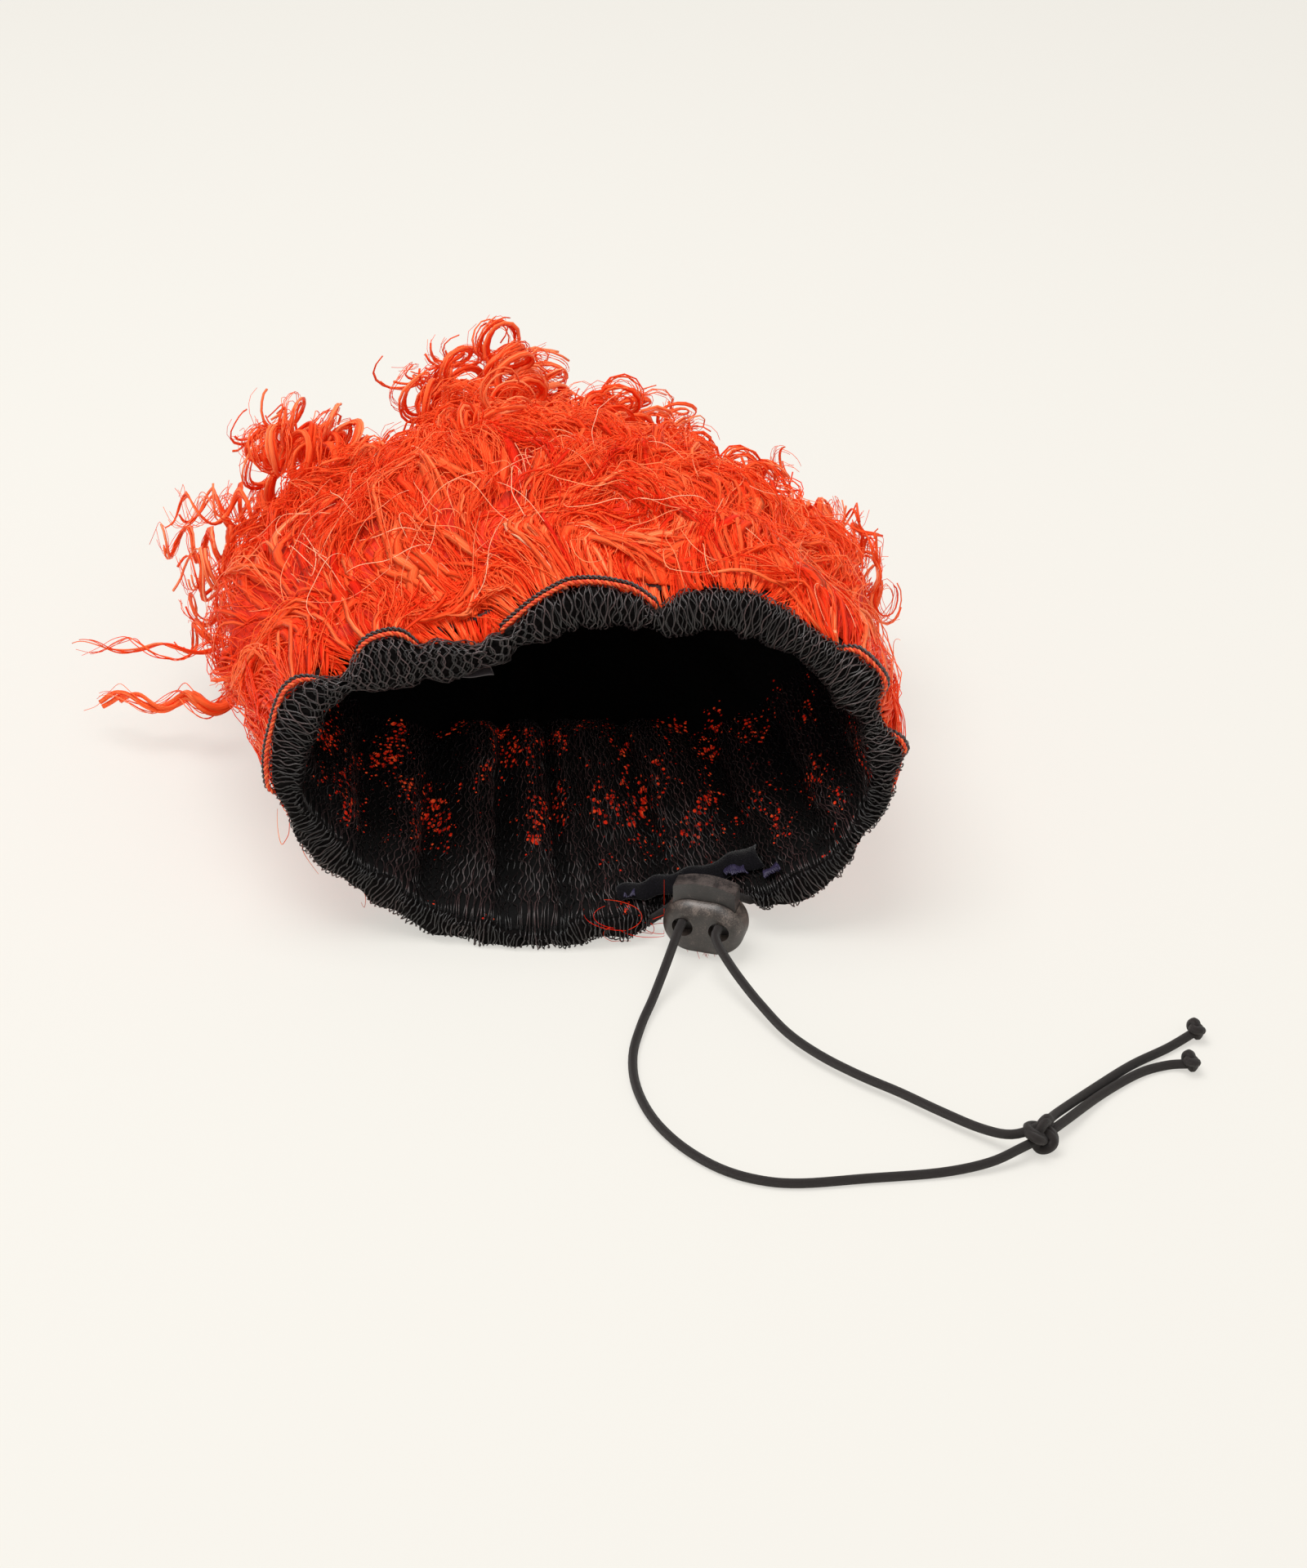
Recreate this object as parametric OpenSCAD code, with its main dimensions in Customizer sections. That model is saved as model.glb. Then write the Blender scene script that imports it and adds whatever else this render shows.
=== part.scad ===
// Costume wig of curly hair, lying on its side on a table with its opening towards -Y.
// A gathered net cap carries rows of machine-sewn hair (wefts). A round elastic runs in
// the hem of the opening and leaves it at a two-hole cord lock, then ends in a knotted loop.
// Millimetres, +Z up. The origin is on the table, under the middle of the cap.

/* [Opening] */
// Lean of the opening plane, as rise in Y for each mm of height
rim_lean = 0.33; // [0.2:0.01:0.45]
// Height of the middle of the opening above the table
rim_mid_z = 46; // [44:1:52]
// Y of the lowest point of the opening's centreline
rim_front_y = -72; // [-80:1:-64]
// Radius of the hem tube round the opening
hem_r = 4.6; // [4:0.1:5]

/* [Cap] */
// Depth of the net cap from the opening to the crown
cap_depth = 134; // [120:1:150]
// Half-width of the net dome
cap_half_w = 80; // [72:1:84]
// Half-height of the net dome
cap_half_h = 42; // [40:1:43]
// How far the crown leans to the left
cap_shift = 18; // [14:1:20]
// How far the pleats of its lower wall stand in
pleat_h = 3.4; // [2:0.1:4]
// Height of the ridge where its lower wall sags inwards
ridge_h = 6; // [4:0.5:7]
// Thickness of one layer of net
net_t = 0.6; // [0.5:0.05:0.8]

/* [Hair] */
// Number of wefts sewn round the cap
weft_count = 8; // [8:1:8]
// Depth of the whole mass of hair from the opening
hair_depth = 186; // [180:1:195]
// Fullness of the hair: 1 is freshly shaken out
hair_full = 1; // [0.97:0.01:1.04]
// Height of the lumps in the outline of the hair
wave_h = 3.6; // [2:0.1:4]

/* [Elastic cord] */
// Diameter of the round elastic
cord_d = 2.4; // [2.2:0.1:2.6]
// Diameter of the knots at the two cut ends
end_knot_d = 5.6; // [5:0.1:6]

/* [Cord lock] */
// Width of the cord lock
lock_w = 22; // [21.8:0.1:22.6]
// Height of its body
lock_h = 16; // [15.8:0.1:16.4]
// Depth of its body along the cords
lock_depth = 11.6; // [11:0.1:12]
// Diameter of its cord holes
lock_hole_d = 5.6; // [5.5:0.05:5.7]
// Distance between the two holes
lock_hole_gap = 9.8; // [9.7:0.05:9.9]
// Turn of the lock about the vertical
lock_turn = -16; // [-18:1:-14]

/* [Hidden] */

hair_colour = "orangered";
black = [0.08, 0.07, 0.07];
grey = [0.3, 0.28, 0.28];

// Distance from the middle of the opening to its centreline, every 15 degrees from +X.
rim_radii = [77, 73, 65, 56, 44, 41, 40, 39, 39, 41, 52, 70,
             77, 72, 63, 57, 50, 46, 41, 43, 47, 54, 64, 73];
// Distance from the middle to the outside of the hair, every 30 degrees: at its fullest
// near the opening, and towards the crown.
hair_radii = [87, 68, 55, 55, 60, 76, 98, 84, 62, 54, 56, 70];
crown_radii = [82, 62, 46, 43, 50, 57, 92, 82, 62, 54, 56, 68];
// Tufts in the outline of the hair: angle, share of the depth and height.
tufts = [[9, 0.52, 15], [38, 0.68, 7], [72, 0.76, 10], [118, 0.8, 20], [153, 0.62, 14],
         [168, 0.50, 12], [180, 0.36, 11]];
// Grooves between the pleats of the lower wall: angle, half-width and depth.
pleats = [[205, 5, 0.8], [222, 6, 1], [243, 6, 1], [262, 5, 0.9], [297, 6, 0.9],
          [323, 5, 0.8], [338, 5, 0.8]];
// How far the centreline of the hem is set back from the leaning plane, every 15 degrees.
rim_back = [0, 0, 0, 0, 0, 0, 0, 0, 0, 0, 0, 0,
            0, 2, 3, 3, 1, 0, 0, 2, 4, 5, 4, 2];

// Distances out from the inner face of the lining, and gaps between the sewn layers.
layer_gap = 0.45;
base_in = net_t + layer_gap;
header_in = base_in + net_t + layer_gap;
header_t = 1;
hair_in = header_in + header_t + layer_gap;
header_w = 4.6;

// The cap starts this share of its depth behind the centreline of the hem.
net_start = 0.055;
row_gap = 3.6;
row_start = net_start + 0.005;
row_lean = 0.10;
// Where each weft is sewn, as a share of the depth of the cap.
row_at = [for (k = [0:weft_count]) row_start + (1 - row_start) * pow(k / weft_count, 0.92)];
angle_steps = 48;

// ---- plain helpers ----
function mix(a, b, k) = a + (b - a) * k;
function ease(k) = let (c = min(max(k, 0), 1)) c * c * (3 - 2 * c);
function unit(v) = v / norm(v);
function sum(list) = list * [for (v = list) 1];
function wrapped(list, i) = let (n = len(list)) list[((i % n) + n) % n];
function catmull(a, b, c, d, k) =
    0.5 * (2 * b + (c - a) * k + (2 * a - 5 * b + 4 * c - d) * k * k
        + (3 * b - a - 3 * c + d) * k * k * k);
function round_list(list, angle) =
    let (at = angle / 360 * len(list), i = floor(at))
    catmull(wrapped(list, i - 1), wrapped(list, i), wrapped(list, i + 1),
            wrapped(list, i + 2), at - i);
function ellipse_r(angle, w, h) = 1 / sqrt(pow(cos(angle) / w, 2) + pow(sin(angle) / h, 2));

// ---- surfaces of the wig ----
// A point of the opening's centreline, moved out by off and along the cap by back.
function rim_point(angle, off = 0, back = 0) =
    let (r = round_list(rim_radii, angle) + off, z = rim_mid_z + r * sin(angle))
    [r * cos(angle), rim_front_y + rim_lean * (z - rim_mid_z + cap_half_h)
        + round_list(rim_back, angle) + back, z];

// How far the pleats and the ridge of the lower wall push the whole cap inwards. It stays
// flat where the tape of the cord lock is sewn on.
function apart(a, b) = let (d = (a - b + 180) % 360) (d < 0 ? d + 360 : d) - 180;
function bell(x) = exp(-x * x);
function fold(angle, t) =
    let (grooves = min(1, sum([for (p = pleats) p[2] * bell(apart(angle, p[0]) / p[1])])),
         pleat = pleat_h * ease((t - 0.04) / 0.10) * (1 - 0.7 * ease((t - 0.3) / 0.35)) * (1 - grooves),
         ridge = ridge_h * bell((t - 0.46) / 0.11) * ease((66 - abs(apart(angle, 268))) / 34),
         flat = (1 - ease((abs(apart(angle, 305)) - 29) / 9)) * (1 - ease((t - 0.18) / 0.1)))
    ease((0.25 - sin(angle + 5)) / 0.5) * (pleat + ridge) * (1 - flat) * (1 - pow(t, 6));

// The net dome: share t of the depth from the opening to the crown, off mm outside the lining.
function cap_floor(t) = 5 + 7 * ease(t / 0.4);
function cap_point(angle, t, off) =
    let (open = 1 - ease(t / 0.35), inwards = fold(angle, t),
         r = (mix(ellipse_r(angle, cap_half_w, cap_half_h), round_list(rim_radii, angle), open)
              + off - inwards) * pow(1 - pow(t, 2.6), 1 / 2.2),
         z = rim_mid_z - 1 * t + r * sin(angle),
         lean = rim_lean * (z - rim_mid_z) * (1 - t),
         y = rim_front_y + rim_lean * cap_half_h + lean + round_list(rim_back, angle) * open)
    [r * cos(angle) - cap_shift * t, y + (cap_depth + off) * t,
     max(z, cap_floor(t) - off + inwards)];

// The outside of the mass of hair, with the same share t: lumps about 16 mm apart, and tufts.
function relief(angle, t) =
    (wave_h * ease((t - 0.1) / 0.35)
        * max(-0.2, sin(7 * angle + 500 * t) * sin(1600 * t + 2 * angle)
                    + 0.5 * sin(4 * angle - 260 * t))
     + sum([for (c = tufts) c[2] * bell(apart(angle, c[0]) / 9) * bell((t - c[1]) / 0.09)]))
    * (1 - pow(t, 8));
function hair_point(angle, t) =
    let (open = 1 - ease(t / 0.42),
         full = mix(round_list(hair_radii, angle), round_list(crown_radii, angle),
                    ease((t - 0.35) / 0.4)) * hair_full,
         r = (mix(full, round_list(rim_radii, angle) + 8, open) + relief(angle, t))
              * pow(1 - pow(t, 2.9), 1 / 2.4),
         z = rim_mid_z - 8 * ease((t - 0.5) / 0.5) + r * sin(angle),
         lean = rim_lean * (z - rim_mid_z) * (1 - t))
    [r * cos(angle) - 20 * t, rim_front_y + rim_lean * cap_half_h + lean
        + round_list(rim_back, angle) * open + hair_depth * t, max(z, 0)];
// Share k of the way from the cap to the outside of the hair.
// The underside lies flat on the table.
function fur_point(angle, t, k) =
    let (p = mix(cap_point(angle, t, hair_in), hair_point(angle, t), k))
    [p[0], p[1], max(p[2] - (k > 0.9 ? 0.4 : 0), 0)];

// ---- solids from lists of points ----
// Faces between two rings of n points that start at indexes a and b. Each four-sided place
// is split along one diagonal, and along the other one from point turned_from on, so that
// two neighbours that face each other are split alike and never touch.
function band(a, b, n, turned_from = 1000) = [for (j = [0:n - 1], half = [0, 1])
    let (k = (j + 1) % n)
    j < turned_from ? (half == 0 ? [a + j, a + k, b + j] : [a + k, b + k, b + j])
                    : (half == 0 ? [a + j, a + k, b + k] : [a + j, b + k, b + j])];

// A closed loop of sections: sections[i] is the outline at step i.
module loop_solid(sections, turned_from = 1000) {
    n = len(sections[0]);
    m = len(sections);
    polyhedron([for (s = sections) each s],
               [for (i = [0:m - 1]) each band(i * n, ((i + 1) % m) * n, n, turned_from)],
               convexity = 6);
}

// A row of sections with a cap on each end.
module row_solid(sections) {
    n = len(sections[0]);
    m = len(sections);
    polyhedron([for (s = sections) each s],
               concat([for (i = [0:m - 2]) each band(i * n, (i + 1) * n, n)],
                      [for (j = [1:n - 2]) [0, j + 1, j]],
                      [for (j = [1:n - 2]) [(m - 1) * n, (m - 1) * n + j, (m - 1) * n + j + 1]]),
               convexity = 6);
}

// A dome with a wall: outer and inner are lists of rings, and each ends in one crown point.
module dome_solid(outer, outer_top, inner, inner_top) {
    n = len(outer[0]);
    a = len(outer);
    b = len(inner);
    points = concat([for (r = outer) each r], [outer_top], [for (r = inner) each r], [inner_top]);
    start = a * n + 1;
    faces = concat(
        [for (i = [0:a - 2]) each band((i + 1) * n, i * n, n)],
        [for (j = [0:n - 1]) [(a - 1) * n + j, a * n, (a - 1) * n + (j + 1) % n]],
        [for (i = [0:b - 2], f = band(start + (i + 1) * n, start + i * n, n)) [f[0], f[2], f[1]]],
        [for (j = [0:n - 1]) [start + (b - 1) * n + j, start + (b - 1) * n + (j + 1) % n, start + b * n]],
        band(0, start, n));
    polyhedron(points, faces, convexity = 8);
}

// Frames that turn as little as possible along a path.
function tangents(p) = [for (i = [0:len(p) - 1])
    unit(p[min(i + 1, len(p) - 1)] - p[max(i - 1, 0)])];
function across(t, n) = unit(n - (n * t) * t);
function frames(p) = let (t = tangents(p))
    [for (i = 0, n = across(t[0], abs(t[0][2]) > 0.9 ? [1, 0, 0] : [0, 0, 1]); i < len(p);
          i = i + 1, n = i < len(p) ? across(t[i], n) : n) [n, cross(t[i], n)]];
module tube(path, radii, sides) {
    f = frames(path);
    row_solid([for (i = [0:len(path) - 1]) [for (j = [0:sides - 1])
        path[i] + radii[i] * (f[i][0] * cos(360 * j / sides) + f[i][1] * sin(360 * j / sides))]]);
}

// A cushion-shaped patch of the cap: from one angle and share to another, slanted by slant.
module cap_patch(angle_a, angle_b, t_a, t_b, off_a, off_b, slant = 0, steps = 8) {
    row_solid([for (i = [0:steps]) let (angle = mix(angle_a, angle_b, i / steps),
                                        s = slant * i / steps)
        [cap_point(angle, t_a + s, off_a), cap_point(angle, t_b + s, off_a),
         cap_point(angle, t_b + s, off_b), cap_point(angle, t_a + s, off_b)]]);
}

function ring_at(t, off) = [for (i = [0:angle_steps - 1]) cap_point(360 * i / angle_steps, t, off)];

// ---- the cap ----
net_shares = [net_start, 0.11, 0.18, 0.26, 0.33, 0.40, 0.46, 0.52, 0.6, 0.7, 0.8, 0.88, 0.935, 0.978];
module net_dome(off) {
    dome_solid([for (t = net_shares) ring_at(t, off + net_t)], cap_point(0, 1, off + net_t),
               [for (t = net_shares) ring_at(t, off)], cap_point(0, 1, off));
}
module lining_net() { color(black) net_dome(0); }
module cap_base_net() { color(black) net_dome(base_in); }

// The hem is a fold of net, so its section is a hollow C that opens towards the cap.
hem_wall = 0.9;
hem_steps = 84;
hem_gap_from = 292;
hem_gap_to = 318;
function hem_section(angle) =
    let (c = rim_point(angle), out = [cos(angle), rim_lean * sin(angle), sin(angle)],
         along = unit(rim_point(angle + 2) - rim_point(angle - 2)),
         u = across(along, out), v = cross(along, u),
         ruffle = 1 + 0.1 * sin(angle * 23))
    [for (side = [0, 1], j = [0:7])
        let (turn = side == 0 ? 20 + j * 320 / 7 : 340 - j * 320 / 7,
             r = (side == 0 ? hem_r : hem_r - hem_wall) * ruffle)
        c + r * (-cos(turn) * v * -1 + sin(turn) * u)];
module rim_hem() {
    color(black)
        row_solid([for (i = [0:hem_steps])
            [for (p = hem_section(mix(hem_gap_to, 360 + hem_gap_from, i / hem_steps)))
                [p[0], p[1], max(p[2], 0)]]]);
}

module exit_tape() {
    color(black) cap_patch(283, 324, 0.06, 0.088, -1.5, -0.4, 0.045);
}
module bar_tacks() {
    color("midnightblue") {
        cap_patch(285, 289, 0.061, 0.084, -2.5, -1.6, 0.003, 2);
        cap_patch(316, 320, 0.068, 0.09, -1.5, -0.4, 0, 2);
        cap_patch(325, 329, 0.06, 0.08, -1.5, -0.4, 0, 2);
    }
}
// A folded satin tape that hangs from the top of the lining.
module inner_tab() { color(grey) cap_patch(139, 153, 0.062, 0.071, -8.5, -0.4, 0.004); }

// ---- the wefts ----
module weft_header(k) {
    t = row_at[k - 1] + 0.003;
    w = header_w / cap_depth * (k == 8 ? 1.4 : 1);
    color(black) loop_solid([for (i = [0:angle_steps - 1]) let (a = 360 * i / angle_steps)
        [cap_point(a, t, header_in), cap_point(a, t, header_in + header_t),
         cap_point(a, t + w, header_in + header_t), cap_point(a, t + w, header_in)]]);
}

// One row of hair leans back over the next row, like a tile on a roof.
function leaned(t) = t + row_lean * (1 - t);
module hair_row(k) {
    a = row_at[k - 1] + row_gap / 2 / cap_depth;
    b = row_at[k] - row_gap / 2 / cap_depth;
    mid = (a + b) / 2;
    color(hair_colour)
        if (k < weft_count)
            loop_solid([for (i = [0:angle_steps - 1]) let (u = 360 * i / angle_steps)
                [fur_point(u, a, 0), fur_point(u, mix(a, leaned(a), 0.5), 0.5),
                 fur_point(u, leaned(a), 0.97), fur_point(u, leaned(mid), 1.04),
                 fur_point(u, leaned(b), 0.98), fur_point(u, mix(b, leaned(b), 0.5), 0.5),
                 fur_point(u, b, 0), fur_point(u, mid, 0)]], 4);
        else
            dome_solid(
                [for (s = [0, 0.3, 0.6, 0.85]) [for (i = [0:angle_steps - 1])
                    fur_point(360 * i / angle_steps, mix(leaned(a), 1, s), s == 0 ? 0.97 : 1)]],
                fur_point(0, 1, 1),
                [for (s = [0, 0.4, 0.75]) [for (i = [0:angle_steps - 1])
                    fur_point(360 * i / angle_steps, mix(a, 1, s), 0)]],
                fur_point(0, 1, 0));
}

// A free curl is a tapered tube that waves about its line, from its root in the mass of
// hair, reach mm towards the middle of the mass, to its tip.
curl_rings = 9;
mass_middle = [-12, 50, 44];
module curl(tip, thick, wave, reach = 30, middle = mass_middle) {
    base = tip + reach * unit(middle - tip);
    d = unit(tip - base);
    side = unit(cross(d, [0, 0, 1]));
    up = cross(side, d);
    tube([for (i = [0:curl_rings]) let (s = i / curl_rings)
            mix(base, tip, s) + wave * sin(180 * s) * (side * sin(540 * s) + up * cos(430 * s))],
         [for (i = [0:curl_rings]) let (s = i / curl_rings) thick * (1 - 0.62 * s)], 6);
}
// The tip of each free curl, its thickness at the root and its wave.
left_curls = [
    [[-98, 94, 64], 5.5, 2], [[-109, 66, 58], 5.5, 2], [[-117, 46, 44], 5.5, 2],
    [[-116, 50, 22], 5.5, 2], [[-82, 72, 80], 5.5, 2]];
crown_curls = [
    [[-58, 116, 76], 6, 2], [[-36, 122, 82], 6, 2], [[-14, 124, 74], 6, 2],
    [[8, 118, 66], 6, 2], [[-66, 124, 42], 5.5, 2], [[-26, 138, 40], 5.5, 2]];
right_curls = [
    [[33, 98, 56], 5.5, 2], [[54, 84, 52], 5.5, 2], [[74, 70, 46], 5.5, 2],
    [[86, 44, 38], 5, 2]];
module curls(list) {
    color(hair_colour) for (c = list) curl(c[0], c[1], c[2]);
}
module stray_lock() {
    color(hair_colour) curl([-146, 32, 13], 5.5, 3, 52, [-60, 10, 34]);
}

// ---- the elastic cord ----
// The lock's own axes: its holes run along lock_ahead, and its width along lock_side.
lock_at = [30.8, -75.6, 8.6];
lock_ahead = [sin(lock_turn), -cos(lock_turn), 0];
lock_side = [cos(lock_turn), sin(lock_turn), 0];
hole_rise = 1;
hole_r = lock_hole_d / 2;
cord_r = cord_d / 2;
pinch = 0.1;
cord_lift = hole_r - cord_r - pinch;
// A point on a strand's straight stretch: side is -1 for the left hole and 1 for the right.
function in_lock(side, ahead) = lock_at + lock_side * side * lock_hole_gap / 2
    + lock_ahead * ahead + [0, 0, cord_lift + hole_rise];
strand_back = -lock_depth / 2 - 1.5;

ring_steps = 66;
ring_path = concat(
    [in_lock(1, strand_back), in_lock(1, strand_back - 2.2) + [1, 0.5, -0.4]],
    [for (i = [0:ring_steps]) let (a = mix(hem_gap_to + 1, 359 + hem_gap_from, i / ring_steps))
        rim_point(a) + [0, 0, 0.5]],
    [in_lock(-1, strand_back - 2.2) + [-1, 0.5, -0.6], in_lock(-1, strand_back)]);
module elastic_ring() {
    color(black) tube(ring_path, [for (p = ring_path) cord_r], 8);
}

// The free strands, from the front of the lock through the knot to their cut ends.
left_route = [
    [22.7, -85.8, 10.1], [20.8, -91, 7.4], [18.7, -96.6, 4.6], [16.6, -102.6, 2.5],
    [13.8, -112, 1.5], [11.8, -124, 1.2], [12.8, -137, 1.2], [17, -149.5, 1.2], [24, -160.3, 1.2],
    [33, -168.6, 1.2], [42.5, -173, 1.2], [52.5, -174.2, 1.2], [68, -172.4, 1.2],
    [86, -170.2, 1.2], [98, -167.6, 2.2], [106, -163.8, 3.6], [111.8, -159, 3.4],
    [117.9, -152.4, 3], [128.2, -140.1, 1.5], [138.5, -131.2, 1.2], [146, -127.9, 1.2],
    [151, -128.4, 2]];
right_route = [
    [33.6, -88.2, 10.2], [36.2, -93.2, 8.2], [39.5, -98.8, 6.3], [44.2, -106.5, 4.5],
    [50.8, -117, 3.3], [58.8, -126, 2.9], [68.2, -134, 2.8], [78, -141, 2.8], [87.5, -148.6, 2.9],
    [96.8, -155.6, 3.2], [104, -159.8, 4.6], [111, -158.4, 6.2], [116, -150.6, 4],
    [126.3, -138.4, 1.9], [137, -128, 1.3], [147, -120.8, 1.2], [154, -115.6, 2]];
// A straight stretch in the lock, long enough for it to slide along, then a smooth curve.
straight = [strand_back, 0, 4.3, 8.6];
strand_steps = 2;
function strand(side, route) =
    let (p = concat([for (ahead = straight) in_lock(side, ahead)], route), n = len(p) - 1)
    concat([for (i = [0:len(straight) - 2]) p[i]],
           [for (i = [len(straight) - 1:n - 1], j = [0:strand_steps - 1])
                catmull(p[i - 1], p[i], p[i + 1], p[min(i + 2, n)], j / strand_steps)],
           [p[n]]);
module cord_strand(side, route) {
    path = strand(side, route);
    color(black) tube(path, [for (p = path) cord_r], 8);
}
module cord_strand_left() { cord_strand(-1, left_route); }
module cord_strand_right() { cord_strand(1, right_route); }

// An overhand knot in both strands: two fat turns side by side.
knot_at = [111.8, -158.4, 5];
module cord_knot() {
    color(black) {
        translate(knot_at) sphere(r = 4.9, $fn = 32);
        translate(knot_at + [-2.2, -5.2, -1]) sphere(r = 3.9, $fn = 32);
    }
}
module end_knot(at) {
    color(black) translate(at) sphere(d = end_knot_d, $fn = 28);
}
module end_knot_left() { end_knot(left_route[len(left_route) - 1] + [0.8, 0, 0.8]); }
module end_knot_right() { end_knot(right_route[len(right_route) - 1] + [0.8, 0.5, 0.8]); }

// ---- the cord lock ----
lock_edge = 3.8;
lock_wall = 1.5;
plunger_w = 16.75;
plunger_t = 5;
plunger_rise = 5;
plunger_crown_r = 21;
running_gap = 0.15;
// At rest the plunger's holes stand this much higher than the body's and pinch the cords.
plunger_travel = 2 * cord_lift;
spring_d = 3.4;
spring_wire = 0.45;
spring_turns = 5;
seat_depth = 3;
slot_floor = -lock_h / 2 + lock_wall;
plunger_bottom = slot_floor + plunger_travel + 0.5;

module lock_place() { translate(lock_at) rotate([0, 0, lock_turn]) children(); }
// Both cord holes, along Y, at a height above the middle of the body.
module cord_holes(up, length) {
    for (side = [-1, 1])
        translate([side * lock_hole_gap / 2, 0, up]) rotate([90, 0, 0])
            cylinder(d = lock_hole_d, h = length, center = true, $fn = 48);
}
// Half of the body's rounded section, from its middle line out to its edge.
module lock_half_section() {
    intersection() {
        union() {
            square([lock_h / 2 - lock_edge, lock_depth]);
            translate([0, lock_edge]) square([lock_h / 2, lock_depth - 2 * lock_edge]);
            for (y = [lock_edge, lock_depth - lock_edge])
                translate([lock_h / 2 - lock_edge, y]) circle(r = lock_edge, $fn = 48);
        }
        square([lock_h / 2, lock_depth]);
    }
}
module lock_pill() {
    translate([0, lock_depth / 2, 0]) rotate([90, 0, 0]) {
        for (side = [-1, 1])
            translate([side * (lock_w - lock_h) / 2, 0, 0])
                rotate_extrude($fn = 64) lock_half_section();
        rotate([90, 0, 90]) linear_extrude(lock_w - lock_h, center = true)
            union() {
                lock_half_section();
                mirror([1, 0]) lock_half_section();
            }
    }
}
// The front outline shared by the slot and the plunger: straight sides and round bottom corners.
module tongue(w, bottom, top, corner_r, t) {
    corner_x = (lock_w - lock_h) / 2;
    rotate([90, 0, 0]) linear_extrude(t, center = true) intersection() {
        translate([-w / 2, bottom]) square([w, top - bottom]);
        union() {
            translate([-w, bottom + corner_r]) square([2 * w, top - bottom]);
            translate([-corner_x, bottom]) square([2 * corner_x, top - bottom]);
            for (side = [-1, 1])
                translate([side * corner_x, bottom + corner_r]) circle(r = corner_r, $fn = 64);
        }
    }
}
module lock_body() {
    color(grey) lock_place() difference() {
        lock_pill();
        // the slot that the plunger slides in, open at the top
        tongue(plunger_w + 2 * running_gap, slot_floor, lock_h, lock_h / 2 - lock_wall,
               plunger_t + 2 * running_gap);
        cord_holes(hole_rise, 2 * lock_depth);
    }
}
module lock_plunger() {
    top = lock_h / 2 + plunger_rise;
    color(black) lock_place() difference() {
        intersection() {
            tongue(plunger_w, plunger_bottom, top, lock_h / 2 - lock_wall - 0.3, plunger_t);
            // the arched top
            translate([0, 0, top - plunger_crown_r]) rotate([90, 0, 0])
                cylinder(r = plunger_crown_r, h = 2 * plunger_t, center = true, $fn = 96);
        }
        cord_holes(plunger_travel + hole_rise, 2 * plunger_t);
        // the blind seat of the spring
        translate([0, 0, plunger_bottom - 1]) cylinder(d = spring_d + 0.6, h = seat_depth + 1, $fn = 32);
    }
}
module lock_spring() {
    low = slot_floor + spring_wire / 2 + 0.02;
    high = plunger_bottom + seat_depth - spring_wire / 2 - 0.02;
    coil_r = (spring_d - spring_wire) / 2;
    steps = spring_turns * 14;
    color("silver") lock_place()
        tube([for (i = [0:steps]) let (a = 360 * spring_turns * i / steps)
                [coil_r * cos(a), coil_r * sin(a), mix(low, high, i / steps)]],
             [for (i = [0:steps]) spring_wire / 2], 6);
}

lining_net();
cap_base_net();
rim_hem();
exit_tape();
bar_tacks();
inner_tab();
elastic_ring();
cord_strand_left();
cord_strand_right();
cord_knot();
end_knot_left();
end_knot_right();
lock_body();
lock_plunger();
lock_spring();
curls(left_curls);  // curls_left
curls(crown_curls);  // curls_crown
curls(right_curls);  // curls_right
stray_lock();
for (k = [1:weft_count]) {
    weft_header(k);
    hair_row(k);
}
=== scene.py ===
# %% [markdown]
# # A costume wig of curly hair
# The wig lies on its side on a table, with its opening towards the viewer. It has a net
# cap, a gathered hem round the opening, a round elastic with a cord lock, and a few
# thousand strands of crimped synthetic hair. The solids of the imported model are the
# frame: every piece made here sits where its solid sits, and rides on the same body.

# %% Load the frame
import math

import bpy
import numpy as np
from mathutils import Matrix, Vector


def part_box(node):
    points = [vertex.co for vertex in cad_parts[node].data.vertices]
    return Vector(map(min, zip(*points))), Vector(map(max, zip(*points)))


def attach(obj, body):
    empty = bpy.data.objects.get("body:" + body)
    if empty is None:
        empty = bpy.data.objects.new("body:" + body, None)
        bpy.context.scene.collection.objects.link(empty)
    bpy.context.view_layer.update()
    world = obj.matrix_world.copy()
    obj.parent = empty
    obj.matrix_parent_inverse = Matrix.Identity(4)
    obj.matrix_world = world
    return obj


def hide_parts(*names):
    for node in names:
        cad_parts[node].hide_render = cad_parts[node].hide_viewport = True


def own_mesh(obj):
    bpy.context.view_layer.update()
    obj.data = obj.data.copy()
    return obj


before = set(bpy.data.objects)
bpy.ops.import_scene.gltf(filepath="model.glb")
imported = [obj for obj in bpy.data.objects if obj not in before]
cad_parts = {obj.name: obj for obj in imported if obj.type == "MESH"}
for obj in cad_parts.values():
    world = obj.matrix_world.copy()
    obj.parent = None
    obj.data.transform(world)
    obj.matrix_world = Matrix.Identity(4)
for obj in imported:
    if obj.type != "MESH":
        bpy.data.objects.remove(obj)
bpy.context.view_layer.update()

MM = 0.001

# %% [markdown]
# ## The camera
# A long lens from the front, looking down by a third of a right angle. It comes first,
# because the free cords may not spread far out of its view.

# %% Camera
CAMERA_AT, CAMERA_TILT, LENS_MM = (0.017, -0.82333, 0.53701), math.radians(57), 80
bpy.ops.object.select_all(action="DESELECT")
bpy.ops.object.camera_add(location=CAMERA_AT, rotation=(CAMERA_TILT, 0, 0))
camera = bpy.context.object
camera.name = "camera"
camera.data.lens = LENS_MM
bpy.context.scene.camera = camera
print("lens", camera.data.lens, "mm")

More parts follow.
